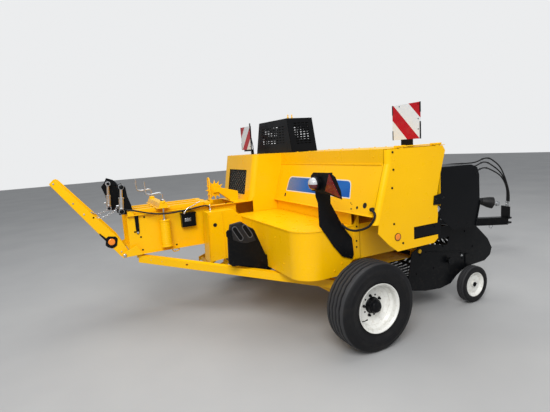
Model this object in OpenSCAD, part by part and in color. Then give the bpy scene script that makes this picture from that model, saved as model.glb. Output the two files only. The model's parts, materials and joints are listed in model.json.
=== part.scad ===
// Square baler, trailed: bale chamber on the left, pickup and feeder on the right,
// shown parked on its wheels and jack. Millimetres, +X forward, +Y left, +Z up.
// Lengths along X are counted from the axle, along Y from the right wheel's mid-plane,
// heights from the ground; placed() then moves all of it to the middle of the machine.

/* [Wheels] */
// Outside diameter of the two road tyres
tyre_d = 750; // [650:5:850]
// Width of the two road tyres
tyre_w = 264; // [200:2:320]
// Diameter of the rim's bead seat
bead_d = 392; // [340:2:440]
// Distance between the two wheels' mid-planes
track = 2420; // [2200:10:2600]
// Diameter of the stub axles
stub_d = 50; // [40:1:60]
// Height and depth of the square axle beam
axle_beam = 90; // [70:5:120]

/* [Bale chamber] */
// Place of the chamber's right wall, outer face
chamber_y = 1700; // [1650:10:1750]
// Width of the bale, inside the walls
bale_w = 460; // [440:5:480]
// Height of the bale, inside the walls
bale_h = 360; // [340:5:400]
// Height of the chamber floor's upper face over the ground
chamber_z = 772; // [740:2:800]
// Place of the chamber's rear end
chamber_rear = -1650; // [-1750:10:-1550]
// Place of the chamber's front end
chamber_front = 1700; // [1500:10:1800]
// Thickness of the chamber's walls
wall_t = 6; // [4:1:10]
// Width of the flanges along the walls
flange_w = 45; // [30:5:60]

/* [Chute] */
// Length of the folding bale chute
chute_l = 960; // [800:10:1200]
// Angle of the folded chute over the horizontal
chute_up = 55; // [45:1:70]
// Diameter of the chute's hinge pins
chute_pin_d = 20; // [16:1:25]

/* [Covers] */
// Height of the top of the big covers
cover_top = 1650; // [1550:10:1700]
// Height of the lower edge of the rear cover
cover_low = 1128; // [1050:2:1200]
// Place of the rear cover's top edge
cover_x = 110; // [80:5:200]
// How far the rear cover leans back below its seam
cover_lean = 120; // [60:5:160]
// Height of the rear cover's seam
seam_z = 1530; // [1450:5:1580]
// Place where the feeder's and twine box's covers end beside the chamber
cover_left = 1640; // [1600:5:1660]
// Radius of the rounded corners of the covers
corner_r = 40; // [20:5:60]
// Place of the right end cover's outer face
end_y = -118; // [-130:2:-60]
// Place of the knotter housing's rear wall at its top
housing_x = -235; // [-300:5:-180]
// How far the housing's rear wall leans
housing_lean = 90; // [40:5:140]
// Place of the housing's left wall
housing_left = 2550; // [2400:10:2550]
// Height of the knotter cover's top
knotter_top = 2030; // [1950:10:2080]
// Thickness of the sheet covers
sheet_t = 4; // [3:1:6]

/* [Feeder] */
// Place of the feeder housing's rear wall
feeder_rear = -500; // [-600:10:-400]
// Place of the feeder housing's right wall
feeder_y = 240; // [200:5:300]
// Height of the feeder housing's flat top
feeder_top = 1010; // [950:5:1050]
// Height of the feeder housing's bottom
feeder_low = 585; // [550:5:650]
// Radius of the feeder housing's rounded corner
feeder_r = 200; // [120:10:260]

/* [Pickup] */
// Place of the pickup's right side plate
pickup_y = 228; // [200:2:232]
// Width of the pickup over its side plates
pickup_w = 1400; // [1300:10:1440]
// Place of the pickup reel's axle
reel_x = 1190; // [1100:5:1300]
// Height of the pickup reel's axle
reel_z = 480; // [400:5:520]
// Diameter over the tine tips
reel_d = 500; // [400:5:560]
// Place of the hinge the pickup lifts about
lift_x = 800; // [700:5:900]
// Height of the hinge the pickup lifts about
lift_z = 640; // [560:5:700]
// Outside diameter of the gauge wheel
gauge_d = 380; // [300:5:420]
// Place of the gauge wheel's axle
gauge_x = 1465; // [1350:5:1550]
// Place of the gauge wheel's mid-plane
gauge_y = 160; // [120:5:175]
// Place of the wind guard's pivot
guard_x = 1300; // [1270:5:1350]
// Height of the wind guard's pivot
guard_z = 795; // [770:5:805]

/* [Drawbar] */
// Place of the hitch pin's hole
hitch_x = 3640; // [3300:10:3800]
// Place of the hitch across the machine, as parked
hitch_y = 1200; // [1000:10:1500]
// Height of the hitch pin's hole
hitch_z = 420; // [350:5:500]
// Diameter of the hitch pin's hole
hitch_d = 32; // [25:1:40]
// Place of the drawbar's swing pin
swing_x = 1880; // [1750:10:2000]
// Place of the drawbar's swing pin across the machine
swing_y = 1740; // [1700:10:1900]
// Height of the drawbar's swing pin
swing_z = 520; // [450:5:600]

/* [Drive] */
// Place of the flywheel's mid-plane
flywheel_x = 2080; // [1950:10:2200]
// Diameter of the flywheel
flywheel_d = 620; // [500:10:700]
// Height of the input shaft
input_z = 960; // [850:5:1050]

/* [Hidden] */
fit = 0.05;
rest_gap = 0.3;
clear_gap = 6;
axle_z = tyre_d / 2;
mid_chamber_y = chamber_y + wall_t + bale_w / 2;
left_wall_y = chamber_y + 2 * wall_t + bale_w;
chamber_top = chamber_z + bale_h;
chute_x = chamber_rear - 62;
chute_z = chamber_z - 20;
front_x = hitch_x + 42;
rear_x = chute_x - chute_l * cos(chute_up) - 24;
mid_x = (front_x + rear_x) / 2;
mid_y = track / 2;
gauge_z = gauge_d / 2 + 3;

yellow = [0.93, 0.70, 0.06];
black = [0.06, 0.06, 0.07];
white = [0.92, 0.92, 0.90];
steel = [0.62, 0.63, 0.64];
red = [0.75, 0.08, 0.06];
rubber = [0.05, 0.05, 0.05];

module placed() {
    translate([-mid_x, -mid_y, 0]) children();
}

// A box given by its low and high corners
module slab(a, b) {
    translate(a) cube([b[0] - a[0], b[1] - a[1], b[2] - a[2]]);
}

// A plate in the X-Z plane, from y0 to y1
module plate_y(y0, y1, pts) {
    translate([0, y1, 0]) rotate([90, 0, 0]) linear_extrude(y1 - y0) polygon(pts);
}

// A plate in the Y-Z plane, from x0 to x1
module plate_x(x0, x1, pts) {
    translate([x0, 0, 0]) rotate([90, 0, 90]) linear_extrude(x1 - x0) polygon(pts);
}

// A plate in the X-Y plane, from z0 to z1
module plate_z(z0, z1, pts) {
    translate([0, 0, z0]) linear_extrude(z1 - z0) polygon(pts);
}

// Round bar along Y
module rod_y(x, z, y0, y1, d) {
    translate([x, y0, z]) rotate([-90, 0, 0]) cylinder(d = d, h = y1 - y0, $fn = 48);
}

// Round bar along X
module rod_x(y, z, x0, x1, d) {
    translate([x0, y, z]) rotate([0, 90, 0]) cylinder(d = d, h = x1 - x0, $fn = 48);
}

// Round bar along Z
module rod_z(x, y, z0, z1, d) {
    translate([x, y, z0]) cylinder(d = d, h = z1 - z0, $fn = 48);
}

// Square bar between two points
module bar(p, q, w, h) {
    v = q - p;
    l = norm(v);
    translate(p) rotate([0, 0, atan2(v[1], v[0])]) rotate([0, -asin(v[2] / l), 0])
        translate([0, -w / 2, -h / 2]) cube([l, w, h]);
}

// Round bar between two points
module rod(p, q, d) {
    v = q - p;
    l = norm(v);
    translate(p) rotate([0, 0, atan2(v[1], v[0])]) rotate([0, 90 - asin(v[2] / l), 0])
        cylinder(d = d, h = l, $fn = 32);
}

module tyre_ring(d, w, bead) {
    r = d / 2;
    b = bead / 2;
    rotate([90, 0, 0]) rotate_extrude($fn = 96)
        polygon([[b, -0.36 * w], [b + 18, -0.40 * w], [b + 0.35 * (r - b), -0.48 * w],
            [b + 0.55 * (r - b), -0.5 * w], [b + 0.8 * (r - b), -0.47 * w], [r - 10, -0.40 * w],
            [r, -0.34 * w], [r, 0.34 * w], [r - 10, 0.40 * w], [b + 0.8 * (r - b), 0.47 * w],
            [b + 0.55 * (r - b), 0.5 * w], [b + 0.35 * (r - b), 0.48 * w], [b + 18, 0.40 * w],
            [b, 0.36 * w]]);
}

// Wheel rim with its disc and hub; the disc sits at s times a quarter width, s = -1 is outside right
module rim_solid(w, bead, s) {
    b = bead / 2 - rest_gap;
    rotate([90, 0, 0]) difference() {
        union() {
            rotate_extrude($fn = 96)
                polygon([[b - 7, -0.44 * w], [b + 12, -0.44 * w], [b + 12, -0.42 * w], [b, -0.365 * w],
                    [b, 0.365 * w], [b + 12, 0.42 * w], [b + 12, 0.44 * w], [b - 7, 0.44 * w]]);
            translate([0, 0, -4 + s * 10]) cylinder(r = b - 6, h = 8, $fn = 96);
            translate([0, 0, -55]) cylinder(d = 120, h = 110, $fn = 48);
            translate([0, 0, s * 12 - 14]) cylinder(d = 190, h = 28, $fn = 48);
        }
        translate([0, 0, -60]) cylinder(d = stub_d + 2 * fit, h = 120, $fn = 48);
    }
}

module tyre_right() {
    placed() color(rubber) translate([0, 0, axle_z]) tyre_ring(tyre_d, tyre_w, bead_d);
}

module rim_right() {
    placed() color(white) translate([0, 0, axle_z]) rim_solid(tyre_w, bead_d, 1);
}

module tyre_left() {
    placed() color(rubber) translate([0, track, axle_z]) tyre_ring(tyre_d, tyre_w, bead_d);
}

module rim_left() {
    placed() color(white) translate([0, track, axle_z]) rim_solid(tyre_w, bead_d, -1);
}

// Beam between the wheels, its stub axles and the legs up to the machine
module axle() {
    placed() color(yellow) {
        slab([-axle_beam / 2, 150, axle_z - axle_beam / 2], [axle_beam / 2, track - 150, axle_z + axle_beam / 2]);
        for (s = [[-75, 150], [track - 150, track + 75]])
            rod_y(0, axle_z, s[0], s[1], stub_d);
        for (y = [chamber_y + 40, left_wall_y - 100])
            slab([-40, y, axle_z + axle_beam / 2], [40, y + 60, chamber_z - wall_t - 40]);
        slab([-40, 300, axle_z + axle_beam / 2], [40, 360, feeder_low]);
    }
}

// Long beam from under the chamber's rear end to the axle
module brace() {
    placed() color(yellow) difference() {
        union() {
            bar([-1560, chamber_y + 25, 680], [-75, 344, 472], 60, 75);
            slab([-57, 290, 420], [-axle_beam / 2, 400, 520]);
            slab([-1590, chamber_y + 10, 690], [-1520, chamber_y + 50, chamber_z - wall_t]);
        }
        rod_y(-1180, 627, 600, 2100, 22);
    }
}

module chamber() {
    placed() color(yellow) difference() {
        union() {
            for (y = [chamber_y, left_wall_y - wall_t])
                slab([chamber_rear, y, chamber_z - 40], [chamber_front, y + wall_t, chamber_top + wall_t]);
            for (y = [chamber_y - flange_w + wall_t, left_wall_y - wall_t])
                for (z = [chamber_z - 40, chamber_top])
                    slab([chamber_rear, y, z], [chamber_front, y + flange_w, z + wall_t]);
            slab([chamber_rear, chamber_y + wall_t, chamber_z - wall_t], [chamber_front, left_wall_y - wall_t, chamber_z]);
            slab([-480, chamber_y + wall_t, chamber_top], [chamber_front, left_wall_y - wall_t, chamber_top + wall_t]);
            slab([chamber_rear, chamber_y - 30, chamber_z - 46], [chamber_rear + 50, left_wall_y + 30, chamber_z - wall_t]);
        }
        slab([feeder_rear + 20, chamber_y - 60, chamber_z + 10], [420, chamber_y + wall_t + 1, chamber_top - 10]);
    }
}

// Plunger head seen through the open rear end
module plunger() {
    placed() color(steel)
        slab([480, chamber_y + wall_t, chamber_z], [1200, left_wall_y - wall_t, chamber_top]);
}

// Upper rails, the tension cross bars and the two crank handles
module tension_rails() {
    placed() {
        color(yellow) {
            for (y = [chamber_y + 60, mid_chamber_y, left_wall_y - 60])
                slab([chamber_rear, y - 25, chamber_top + wall_t], [-780, y + 25, chamber_top + wall_t + 45]);
            for (x = [chamber_rear + 10, -840])
                slab([x, chamber_y - 30, chamber_top + wall_t], [x + 60, left_wall_y + 30, chamber_top + wall_t + 40]);
            slab([-1330, chamber_y - 95, chamber_top + wall_t + 45], [-1260, left_wall_y + 95, chamber_top + wall_t + 95]);
        }
        color(steel) for (y = [chamber_y - 70, left_wall_y + 70]) {
            rod_z(-1295, y, 1060, chamber_top + 218, 16);
            slab([-1468, y - 8, chamber_top + 202], [-1287, y + 8, chamber_top + 218]);
            rod_z(-1460, y, chamber_top + 218, chamber_top + 333, 14);
        }
    }
}

// Spring canisters on the chamber's sides
module springs() {
    placed() color(yellow) for (y = [chamber_y - 70, left_wall_y + 70]) {
        rod_z(-1295, y, 790, 1060, 78);
        slab([-1325, y < mid_chamber_y ? y : left_wall_y, 800], [-1265, y < mid_chamber_y ? chamber_y : y, 830]);
    }
}

module density_plates() {
    placed() color(black) {
        plate_y(chamber_y + 30, chamber_y + 42, [[-1530, chamber_top + wall_t + 45], [-1640, chamber_top + wall_t + 45],
            [-1670, 1240], [-1676, 1400], [-1653, 1437], [-1623, 1414], [-1626, 1344], [-1530, 1215]]);
        plate_y(left_wall_y - 42, left_wall_y - 30, [[-1560, chamber_top + wall_t + 45], [-1640, chamber_top + wall_t + 45],
            [-1735, 1260], [-1746, 1490], [-1690, 1440], [-1621, 1260]]);
        rod_y(-1650, 1400, chamber_y + 30, left_wall_y - 30, 30);
        rod_y(-1625, 1215, chamber_y + 30, left_wall_y - 30, 30);
    }
}

module density_cylinders() {
    placed() color(steel) for (y = [chamber_y + 110, left_wall_y - 110])
        difference() {
            union() {
                rod([-1628, y, 1240], [-1647, y, 1376], 50);
                for (p = [[-1625, 1215], [-1650, 1400]])
                    rod_y(p[0], p[1], y - 20, y + 20, 56);
            }
            for (p = [[-1625, 1215], [-1650, 1400]])
                rod_y(p[0], p[1], y - 30, y + 30, 30 + 2 * rest_gap);
        }
}

// Arm over the chamber that carries the bale length wheel
module metering_arm() {
    placed() color(yellow) {
        for (y = [mid_chamber_y - 30, mid_chamber_y + 22])
            plate_y(y, y + 8, [[-660, 1250], [-600, 1250], [-460, chamber_top + wall_t], [-360, chamber_top + wall_t],
                [-360, 1240], [-600, 1310], [-660, 1310]]);
        rod_y(-631, 1280, mid_chamber_y - 30, mid_chamber_y + 30, 16);
        rod_y(-400, 1180, mid_chamber_y - 30, mid_chamber_y + 30, 20);
    }
}

module metering_wheel() {
    placed() color(steel) difference() {
        union() {
            rod_y(-631, 1280, mid_chamber_y - 3, mid_chamber_y + 3, 150);
            rod_y(-631, 1280, mid_chamber_y - 16, mid_chamber_y + 16, 40);
            for (a = [0:30:330]) translate([-631, mid_chamber_y, 1280]) rotate([0, a, 0])
                plate_y(-3, 3, [[60, -16], [115, 0], [60, 16]]);
        }
        rod_y(-631, 1280, mid_chamber_y - 20, mid_chamber_y + 20, 16 + 2 * fit);
    }
}

// Bale counter box with its lever on the chamber's right wall
module counter() {
    placed() color(black) slab([-1120, chamber_y - 60, 1000], [-1010, chamber_y, 1110]);
}

module side_cover() {
    placed() color(yellow) {
        slab([-900, chamber_y - 90, 525], [-700, chamber_y - 86, 1090]);
        for (x = [-900, -704])
            slab([x, chamber_y - 90, 525], [x + 4, chamber_y - flange_w + wall_t, 1090]);
        slab([-900, chamber_y - 90, 1086], [-700, chamber_y - flange_w + wall_t, 1090]);
    }
}

module chute() {
    placed() color(yellow) translate([chute_x, 0, chute_z]) rotate([0, chute_up, 0]) {
        for (y = [chamber_y - 2, left_wall_y - 4])
            difference() {
                plate_y(y, y + 6, [[20, -36], [20, 48], [-chute_l, 24], [-chute_l, -22]]);
                rod_y(0, 0, y - 1, y + 7, chute_pin_d + 2 * fit);
            }
        for (i = [1:5])
            rod_y(-i * (chute_l - 30) / 5, 4, chamber_y, left_wall_y, 22);
        for (y = [chamber_y + 110, mid_chamber_y, left_wall_y - 110])
            slab([-chute_l, y - 12, 14], [-40, y + 12, 22]);
    }
}

// Ears and pins the chute hangs on
module chute_ears() {
    placed() color(yellow) for (s = [[chamber_y - flange_w + wall_t - 10, 1], [left_wall_y + flange_w - wall_t, 0]]) {
        plate_y(s[0], s[0] + 10, [[chamber_rear + 120, chamber_z - 40], [chute_x - 20, chute_z - 24],
            [chute_x - 20, chute_z + 22], [chamber_rear + 60, chamber_z + 60]]);
        rod_y(chute_x, chute_z, s[0] - (s[1] > 0 ? 6 : 46), s[0] + (s[1] > 0 ? 56 : 16), chute_pin_d);
    }
}

// Closed feeder trough between pickup and chamber, with its rounded rear corner
module feeder() {
    placed() color(yellow) difference() {
        union() {
            translate([0, 0, feeder_low]) linear_extrude(feeder_top - feeder_low) feeder_plan(0);
        }
        translate([0, 0, feeder_low + sheet_t]) linear_extrude(feeder_top - feeder_low - 2 * sheet_t) feeder_plan(sheet_t);
        plate_y(feeder_y - 5, feeder_y + 30, [[-140, feeder_low - 1], [820, feeder_low - 1], [820, 700], [20, 700]]);
    }
}

module feeder_plan(t) {
    x0 = feeder_rear + t;
    y0 = feeder_y + t;
    r = feeder_r - t;
    union() {
        translate([x0 + r, y0]) square([760 - x0 - r + (t > 0 ? 10 : 0), chamber_y - flange_w - 2 - y0 + (t > 0 ? 10 : 0)]);
        translate([x0, y0 + r]) square([r + 1, chamber_y - flange_w - 2 - y0 - r + (t > 0 ? 10 : 0)]);
        translate([x0 + r, y0 + r]) circle(r = r, $fn = 96);
    }
}

// Big box over the feeder: top, front and floor of the twine boxes
module twine_box() {
    placed() color(yellow) {
        slab([cover_x + 4, end_y + clear_gap + sheet_t, cover_top - sheet_t], [760, cover_left, cover_top]);
        slab([700, end_y + clear_gap + sheet_t, cover_low + 2], [700 + sheet_t, cover_left, cover_top - sheet_t]);
        slab([cover_x - cover_lean + 24, end_y + corner_r + clear_gap, cover_low - 2], [704, cover_left, cover_low + 2]);
        rod_x(end_y + 2, cover_top + 10, 214, 706, 8);
        for (x = [218, 290, 618, 690])
            slab([x, end_y - 6, cover_top], [x + 10, end_y + 40, cover_top + 18]);
    }
}

module rear_cover() {
    placed() color(yellow)
        plate_y(end_y + corner_r + clear_gap, cover_left, [[cover_x - cover_lean - 14, cover_low - 6],
            [cover_x - cover_lean + 24, cover_low - 2], [cover_x - cover_lean + 24, cover_low + 2],
            [cover_x - cover_lean + sheet_t, cover_low + 4], [cover_x + sheet_t, seam_z], [cover_x + sheet_t, cover_top],
            [cover_x, cover_top], [cover_x, seam_z], [cover_x - cover_lean, cover_low]]);
}

module end_cover() {
    lean_a = atan2(cover_lean, seam_z - cover_low);
    placed() color(yellow) difference() {
        union() {
            plate_y(end_y, end_y + sheet_t, [[cover_x + corner_r, cover_top - 6], [720, cover_top - 6], [750, 1600],
                [688, 1395], [651, 1240], [660, 1055], [652, 990], [660, 855], [612, 820], [200, 815], [105, 886],
                [0, 990], [cover_x + corner_r - cover_lean * (seam_z - 1060) / (seam_z - cover_low), 1060],
                [cover_x + corner_r, seam_z]]);
            translate([cover_x + corner_r + 1, end_y + corner_r, seam_z - 1])
                linear_extrude(cover_top - 5 - seam_z) corner_plan(corner_r, sheet_t);
            intersection() {
                translate([cover_x + corner_r + 1, end_y + corner_r, seam_z]) rotate([0, lean_a, 0])
                    translate([0, 0, -520]) linear_extrude(560) corner_plan(corner_r, sheet_t);
                slab([-200, end_y - 5, 1060], [cover_x + corner_r + 20, end_y + corner_r + 5, seam_z]);
            }
            for (x = [240, 640]) {
                rod_x(end_y + 2, cover_top + 10, x, x + 40, 16);
                slab([x, end_y, cover_top - 10], [x + 40, end_y + sheet_t, cover_top + 10]);
            }
        }
        rod_x(end_y + 2, cover_top + 10, 230, 700, 8 + 2 * fit);
        slab([380, end_y - 1, 886], [800, end_y + sheet_t + 1, 991]);
    }
}

// Quarter ring in plan for a rounded corner at the rear right
module corner_plan(r, t) {
    difference() {
        intersection() {
            circle(r = r, $fn = 64);
            translate([-r, -r]) square(r);
        }
        circle(r = r - t, $fn = 64);
    }
}

module knotter_housing() {
    lean_a = atan2(housing_lean, cover_top - chamber_top - wall_t);
    placed() color(yellow) difference() {
        union() {
            intersection() {
                translate([housing_x - housing_lean, 0, chamber_top + wall_t]) rotate([0, lean_a, 0])
                    translate([0, 0, -200]) linear_extrude(900) housing_plan(0);
                slab([-600, cover_left - 1, chamber_top + wall_t], [704, housing_left + 1, cover_top]);
            }
            for (y = [1760, 2070]) {
                rod_y(468, cover_top + 10, y - 14, y + 54, 8);
                for (e = [y - 12, y + 44])
                    slab([462, e, cover_top - 4], [474, e + 8, cover_top + 14]);
            }
        }
        intersection() {
            translate([housing_x - housing_lean, 0, chamber_top + wall_t]) rotate([0, lean_a, 0])
                translate([0, 0, -200]) linear_extrude(900) housing_plan(sheet_t);
            slab([-600, cover_left, chamber_top - 10], [700, housing_left, cover_top - sheet_t]);
        }
        slab([-400, 1815, 1195], [-200, 2375, 1480]);
    }
}

module housing_plan(t) {
    r = corner_r + 20;
    y0 = cover_left + rest_gap;
    union() {
        translate([r, y0 + t]) square([1200, housing_left - y0 - 2 * t]);
        translate([t, y0 + r]) square([r, housing_left - y0 - 2 * r]);
        for (y = [y0 + r, housing_left - r])
            translate([r, y]) circle(r = r - t, $fn = 96);
    }
}

module knotter_cover() {
    z0 = cover_top + rest_gap;
    placed() color(black) difference() {
        union() {
            difference() {
                plate_x(cover_x + 10, 450, [[1397, z0], [2341, z0], [2212, knotter_top], [1479, knotter_top]]);
                plate_x(cover_x + 14, 446, [[1401, z0 - 5], [2337, z0 - 5], [2208, knotter_top - 4], [1483, knotter_top - 4]]);
            }
            for (y = [1760, 2070]) {
                rod_y(468, cover_top + 10, y + 1, y + 39, 16);
                slab([446, y + 1, cover_top + 4], [468, y + 39, cover_top + 16]);
            }
        }
        rod_y(468, cover_top + 10, 1490, left_wall_y + 10, 8 + 2 * fit);
    }
}

module front_hood() {
    placed() color(black) {
        for (y = [50, cover_left - 6])
            plate_y(y, y + 6, [[704, 1446], [1300, 1436], [1385, 1405], [1415, 1330], [1424, 1080], [1359, 841],
                [1050, 841], [704, 1120]]);
        plate_y(56, cover_left - 6, [[704, 1446], [1300, 1436], [1385, 1405], [1382, 1399], [1299, 1430], [704, 1440]]);
        slab([1385, 56, 1220], [1391, cover_left - 6, 1403]);
    }
}

// Side plates, stripper bands and cross tubes of the pickup
module pickup() {
    right = [[640, 330], [691, 270], [876, 225], [1084, 206], [1229, 227], [1318, 294], [1454, 358], [1754, 372],
        [1844, 422], [1868, 496], [1800, 607], [1606, 778], [1420, 812], [1250, 830], [1180, 640], [850, 700], [700, 640]];
    left = [[775, 330], [876, 225], [1084, 206], [1229, 227], [1318, 294], [1454, 358], [1754, 372],
        [1844, 422], [1868, 496], [1800, 607], [1606, 778], [1420, 812], [1250, 830], [1180, 640], [850, 700], [775, 660]];
    placed() color(black) difference() {
        union() {
            plate_y(pickup_y, pickup_y + 6, right);
            plate_y(pickup_y + pickup_w - 6, pickup_y + pickup_w, left);
            rod_y(1700, 560, pickup_y, pickup_y + pickup_w, 50);
            rod_y(900, 270, pickup_y, pickup_y + pickup_w, 40);
            for (y = [pickup_y - 20, pickup_y + pickup_w - 6])
                rod_y(reel_x, reel_z, y, y + 26, 50);
            rod_y(gauge_x, gauge_z, gauge_y - 40, pickup_y, 25);
            slab([gauge_x - 25, pickup_y - 10, gauge_z - 25], [gauge_x + 25, pickup_y, 500]);
        }
        rod_y(reel_x, reel_z, pickup_y - 21, pickup_y + pickup_w + 31, 30 + 2 * fit);
        rod_y(lift_x, lift_z, pickup_y - 1, pickup_y + pickup_w + 1, 40 + 2 * fit);
        rod_y(guard_x, guard_z, pickup_y - 1, pickup_y + pickup_w + 1, 26 + 2 * fit);
    }
}

// Cross tube the pickup hangs on, with its brackets
module lift_tube() {
    placed() color(yellow) {
        rod_y(lift_x, lift_z, pickup_y - 8, pickup_y + pickup_w + 20, 40);
        for (y = [pickup_y + 60, pickup_y + pickup_w - 80])
            slab([760, y, feeder_low - 10], [lift_x, y + 20, lift_z + 10]);
    }
}

module reel() {
    n = 18;
    placed() color(steel) {
        rod_y(reel_x, reel_z, pickup_y - 10, pickup_y + pickup_w + 5, 30);
        rod_y(reel_x, reel_z, pickup_y + 12, pickup_y + pickup_w - 12, 90);
        for (a = [0:90:270]) translate([reel_x, 0, reel_z]) rotate([0, a, 0]) {
            for (y = [pickup_y + 14, pickup_y + pickup_w - 20])
                slab([0, y, -15], [170, y + 6, 15]);
            rod_y(160, 0, pickup_y + 14, pickup_y + pickup_w - 14, 30);
            for (i = [0:n]) translate([160, pickup_y + 50 + i * (pickup_w - 100) / n, 0]) rotate([0, 90, 0])
                cylinder(d = 6, h = reel_d / 2 - 160, $fn = 16);
        }
    }
}

module gauge_tyre() {
    placed() color(rubber) translate([gauge_x, gauge_y, gauge_z]) tyre_ring(gauge_d, 90, 240);
}

module gauge_rim() {
    placed() color(white) translate([gauge_x, gauge_y, gauge_z]) rotate([90, 0, 0]) difference() {
        union() {
            rotate_extrude($fn = 64)
                polygon([[112, -40], [126, -40], [126, -38], [120 - rest_gap, -33], [120 - rest_gap, 33], [126, 38], [126, 40], [112, 40]]);
            translate([0, 0, -3]) cylinder(r = 113, h = 6, $fn = 64);
            translate([0, 0, -30]) cylinder(d = 60, h = 60, $fn = 48);
        }
        translate([0, 0, -40]) cylinder(d = 25 + 2 * fit, h = 80, $fn = 48);
    }
}

module windguard() {
    n = 8;
    placed() color(black) {
        rod_y(guard_x, guard_z, pickup_y - 8, pickup_y + pickup_w, 26);
        for (i = [0:n]) translate([guard_x, pickup_y + 60 + i * (pickup_w - 120) / n, guard_z])
            plate_y(-5, 5, [[0, -6], [200, -40], [340, -112], [347, -102], [204, -28], [0, 6]]);
    }
}

// Drawbar, swung to the middle of the machine for the road
module drawbar() {
    placed() color(black) difference() {
        union() {
            bar([swing_x + 40, swing_y - 10, swing_z - 2], [hitch_x - 60, hitch_y, hitch_z], 100, 110);
            rod_z(swing_x, swing_y, swing_z - 74, swing_z + 74, 130);
            for (z = [hitch_z - 45, hitch_z + 25]) {
                rod_z(hitch_x, hitch_y, z, z + 20, 84);
                slab([hitch_x - 110, hitch_y - 42, z], [hitch_x, hitch_y + 42, z + 20]);
            }
            slab([2830, 1420, hitch_z - 20], [2890, 1500, hitch_z + 70]);
        }
        rod_z(swing_x, swing_y, swing_z - 80, swing_z + 80, 50 + 2 * fit);
        rod_z(hitch_x, hitch_y, hitch_z - 60, hitch_z + 60, hitch_d);
    }
}

// Front frame: cross beam, clevis with the swing pin and the drive's carrier
module front_frame() {
    placed() color(yellow) {
        slab([chamber_front - 140, chamber_y - 40, 440], [chamber_front - 80, left_wall_y + 20, 600]);
        for (z = [swing_z - 100, swing_z + 76])
            slab([chamber_front - 80, swing_y - 80, z], [swing_x + 60, swing_y + 80, z + 24]);
        rod_z(swing_x, swing_y, swing_z - 110, swing_z + 110, 50);
        for (y = [chamber_y + 10, left_wall_y - 60])
            slab([chamber_front - 140, y, 600], [chamber_front - 80, y + 50, chamber_z - wall_t - rest_gap]);
        for (y = [chamber_y + 70, left_wall_y - 70]) {
            bar([axle_beam / 2 + 6, y, axle_z + 10], [chamber_front - 110, y, 520], 70, 80);
            slab([axle_beam / 2, y - 50, axle_z - 40], [axle_beam / 2 + 12, y + 50, axle_z + 60]);
        }
    }
}

module jack_tube() {
    placed() color(black) difference() {
        union() {
            rod_z(2860, 1573.5, 260, 740, 76);
            slab([2830, 1500, hitch_z - 20], [2890, 1545, hitch_z + 70]);
        }
        rod_z(2860, 1573.5, 250, 725, 62);
    }
}

module jack_leg() {
    placed() color(steel) {
        rod_z(2860, 1573.5, 8, 480, 61.8);
        rod_z(2860, 1573.5, 0, 10, 180);
    }
}

module gearbox() {
    placed() color(black) {
        slab([chamber_front, mid_chamber_y - 160, 800], [flywheel_x - 120, mid_chamber_y + 160, 1150]);
        rod_x(mid_chamber_y, input_z, flywheel_x - 120, flywheel_x + 130, 50);
    }
}

module flywheel() {
    placed() color(black) difference() {
        union() {
            difference() {
                rod_x(mid_chamber_y, input_z, flywheel_x - 45, flywheel_x + 45, flywheel_d);
                rod_x(mid_chamber_y, input_z, flywheel_x - 50, flywheel_x - 10, flywheel_d - 110);
                rod_x(mid_chamber_y, input_z, flywheel_x + 10, flywheel_x + 50, flywheel_d - 110);
            }
            rod_x(mid_chamber_y, input_z, flywheel_x - 60, flywheel_x + 60, 110);
        }
        rod_x(mid_chamber_y, input_z, flywheel_x - 70, flywheel_x + 70, 50 + 2 * fit);
    }
}

module drive_shaft() {
    placed() color(black) {
        difference() {
            rod_z(flywheel_x + 190, mid_chamber_y, input_z - 60, input_z + 60, 60);
            rod_z(flywheel_x + 190, mid_chamber_y, input_z - 70, input_z + 70, 20 + 2 * fit);
        }
        rod([flywheel_x + 225, mid_chamber_y - 15, input_z - 5], [3380, 1240, 700], 80);
    }
}

// Cross pin of the first universal joint, on the flywheel's shaft
module drive_yoke() {
    placed() color(steel) {
        rod_z(flywheel_x + 190, mid_chamber_y, input_z - 75, input_z + 75, 20);
        slab([flywheel_x + 130, mid_chamber_y - 20, input_z - 75], [flywheel_x + 150, mid_chamber_y + 20, input_z + 75]);
        for (z = [input_z - 75, input_z + 62])
            slab([flywheel_x + 130, mid_chamber_y - 20, z], [flywheel_x + 205, mid_chamber_y + 20, z + 13]);
    }
}

module flywheel_shield() {
    placed() color(yellow) difference() {
        slab([chamber_front - 80, chamber_y - 60, chamber_top + wall_t], [flywheel_x + 120, left_wall_y + 60, 1330]);
        slab([chamber_front - 76, chamber_y - 56, chamber_top + wall_t - 10], [flywheel_x + 116, left_wall_y + 56, 1326]);
        slab([chamber_front + 1, chamber_y - 61, chamber_top], [flywheel_x + 121, left_wall_y + 61, 1210]);
    }
}

module needle_frame() {
    placed() color(yellow) {
        for (y = [chamber_y - flange_w + wall_t - 20, left_wall_y + flange_w - wall_t])
            plate_y(y, y + 20, [[-620, 780], [-520, 780], [-540, 680], [-660, 440], [-820, 400], [-820, 450], [-700, 490], [-620, 700]]);
        rod_y(-780, 425, chamber_y - 60, left_wall_y + 60, 50);
        for (y = [mid_chamber_y - 110, mid_chamber_y + 110])
            plate_y(y - 8, y + 8, [[-780, 440], [-640, 520], [-560, 640], [-540, 700], [-580, 700], [-620, 600], [-700, 520], [-800, 470]]);
    }
}

module light_arm() {
    placed() color(black) {
        plate_y(feeder_y - 8, feeder_y, [[-330, 1490], [-230, 1490], [-240, 1260], [-190, 1060], [-30, 760],
            [20, 700], [-60, 700], [-250, 980], [-300, 1080], [-310, 1250]]);
        slab([-345, feeder_y - 80, 1270], [-326, feeder_y + 40, 1480]);
    }
}

module chock_holder() {
    placed() color(black) {
        slab([-900, 790, 640], [feeder_rear, 796, 980]);
        slab([-800, 796, 640], [feeder_rear, 930, 646]);
        slab([-820, 800, 646], [-520, 925, 900]);
    }
}

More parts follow.
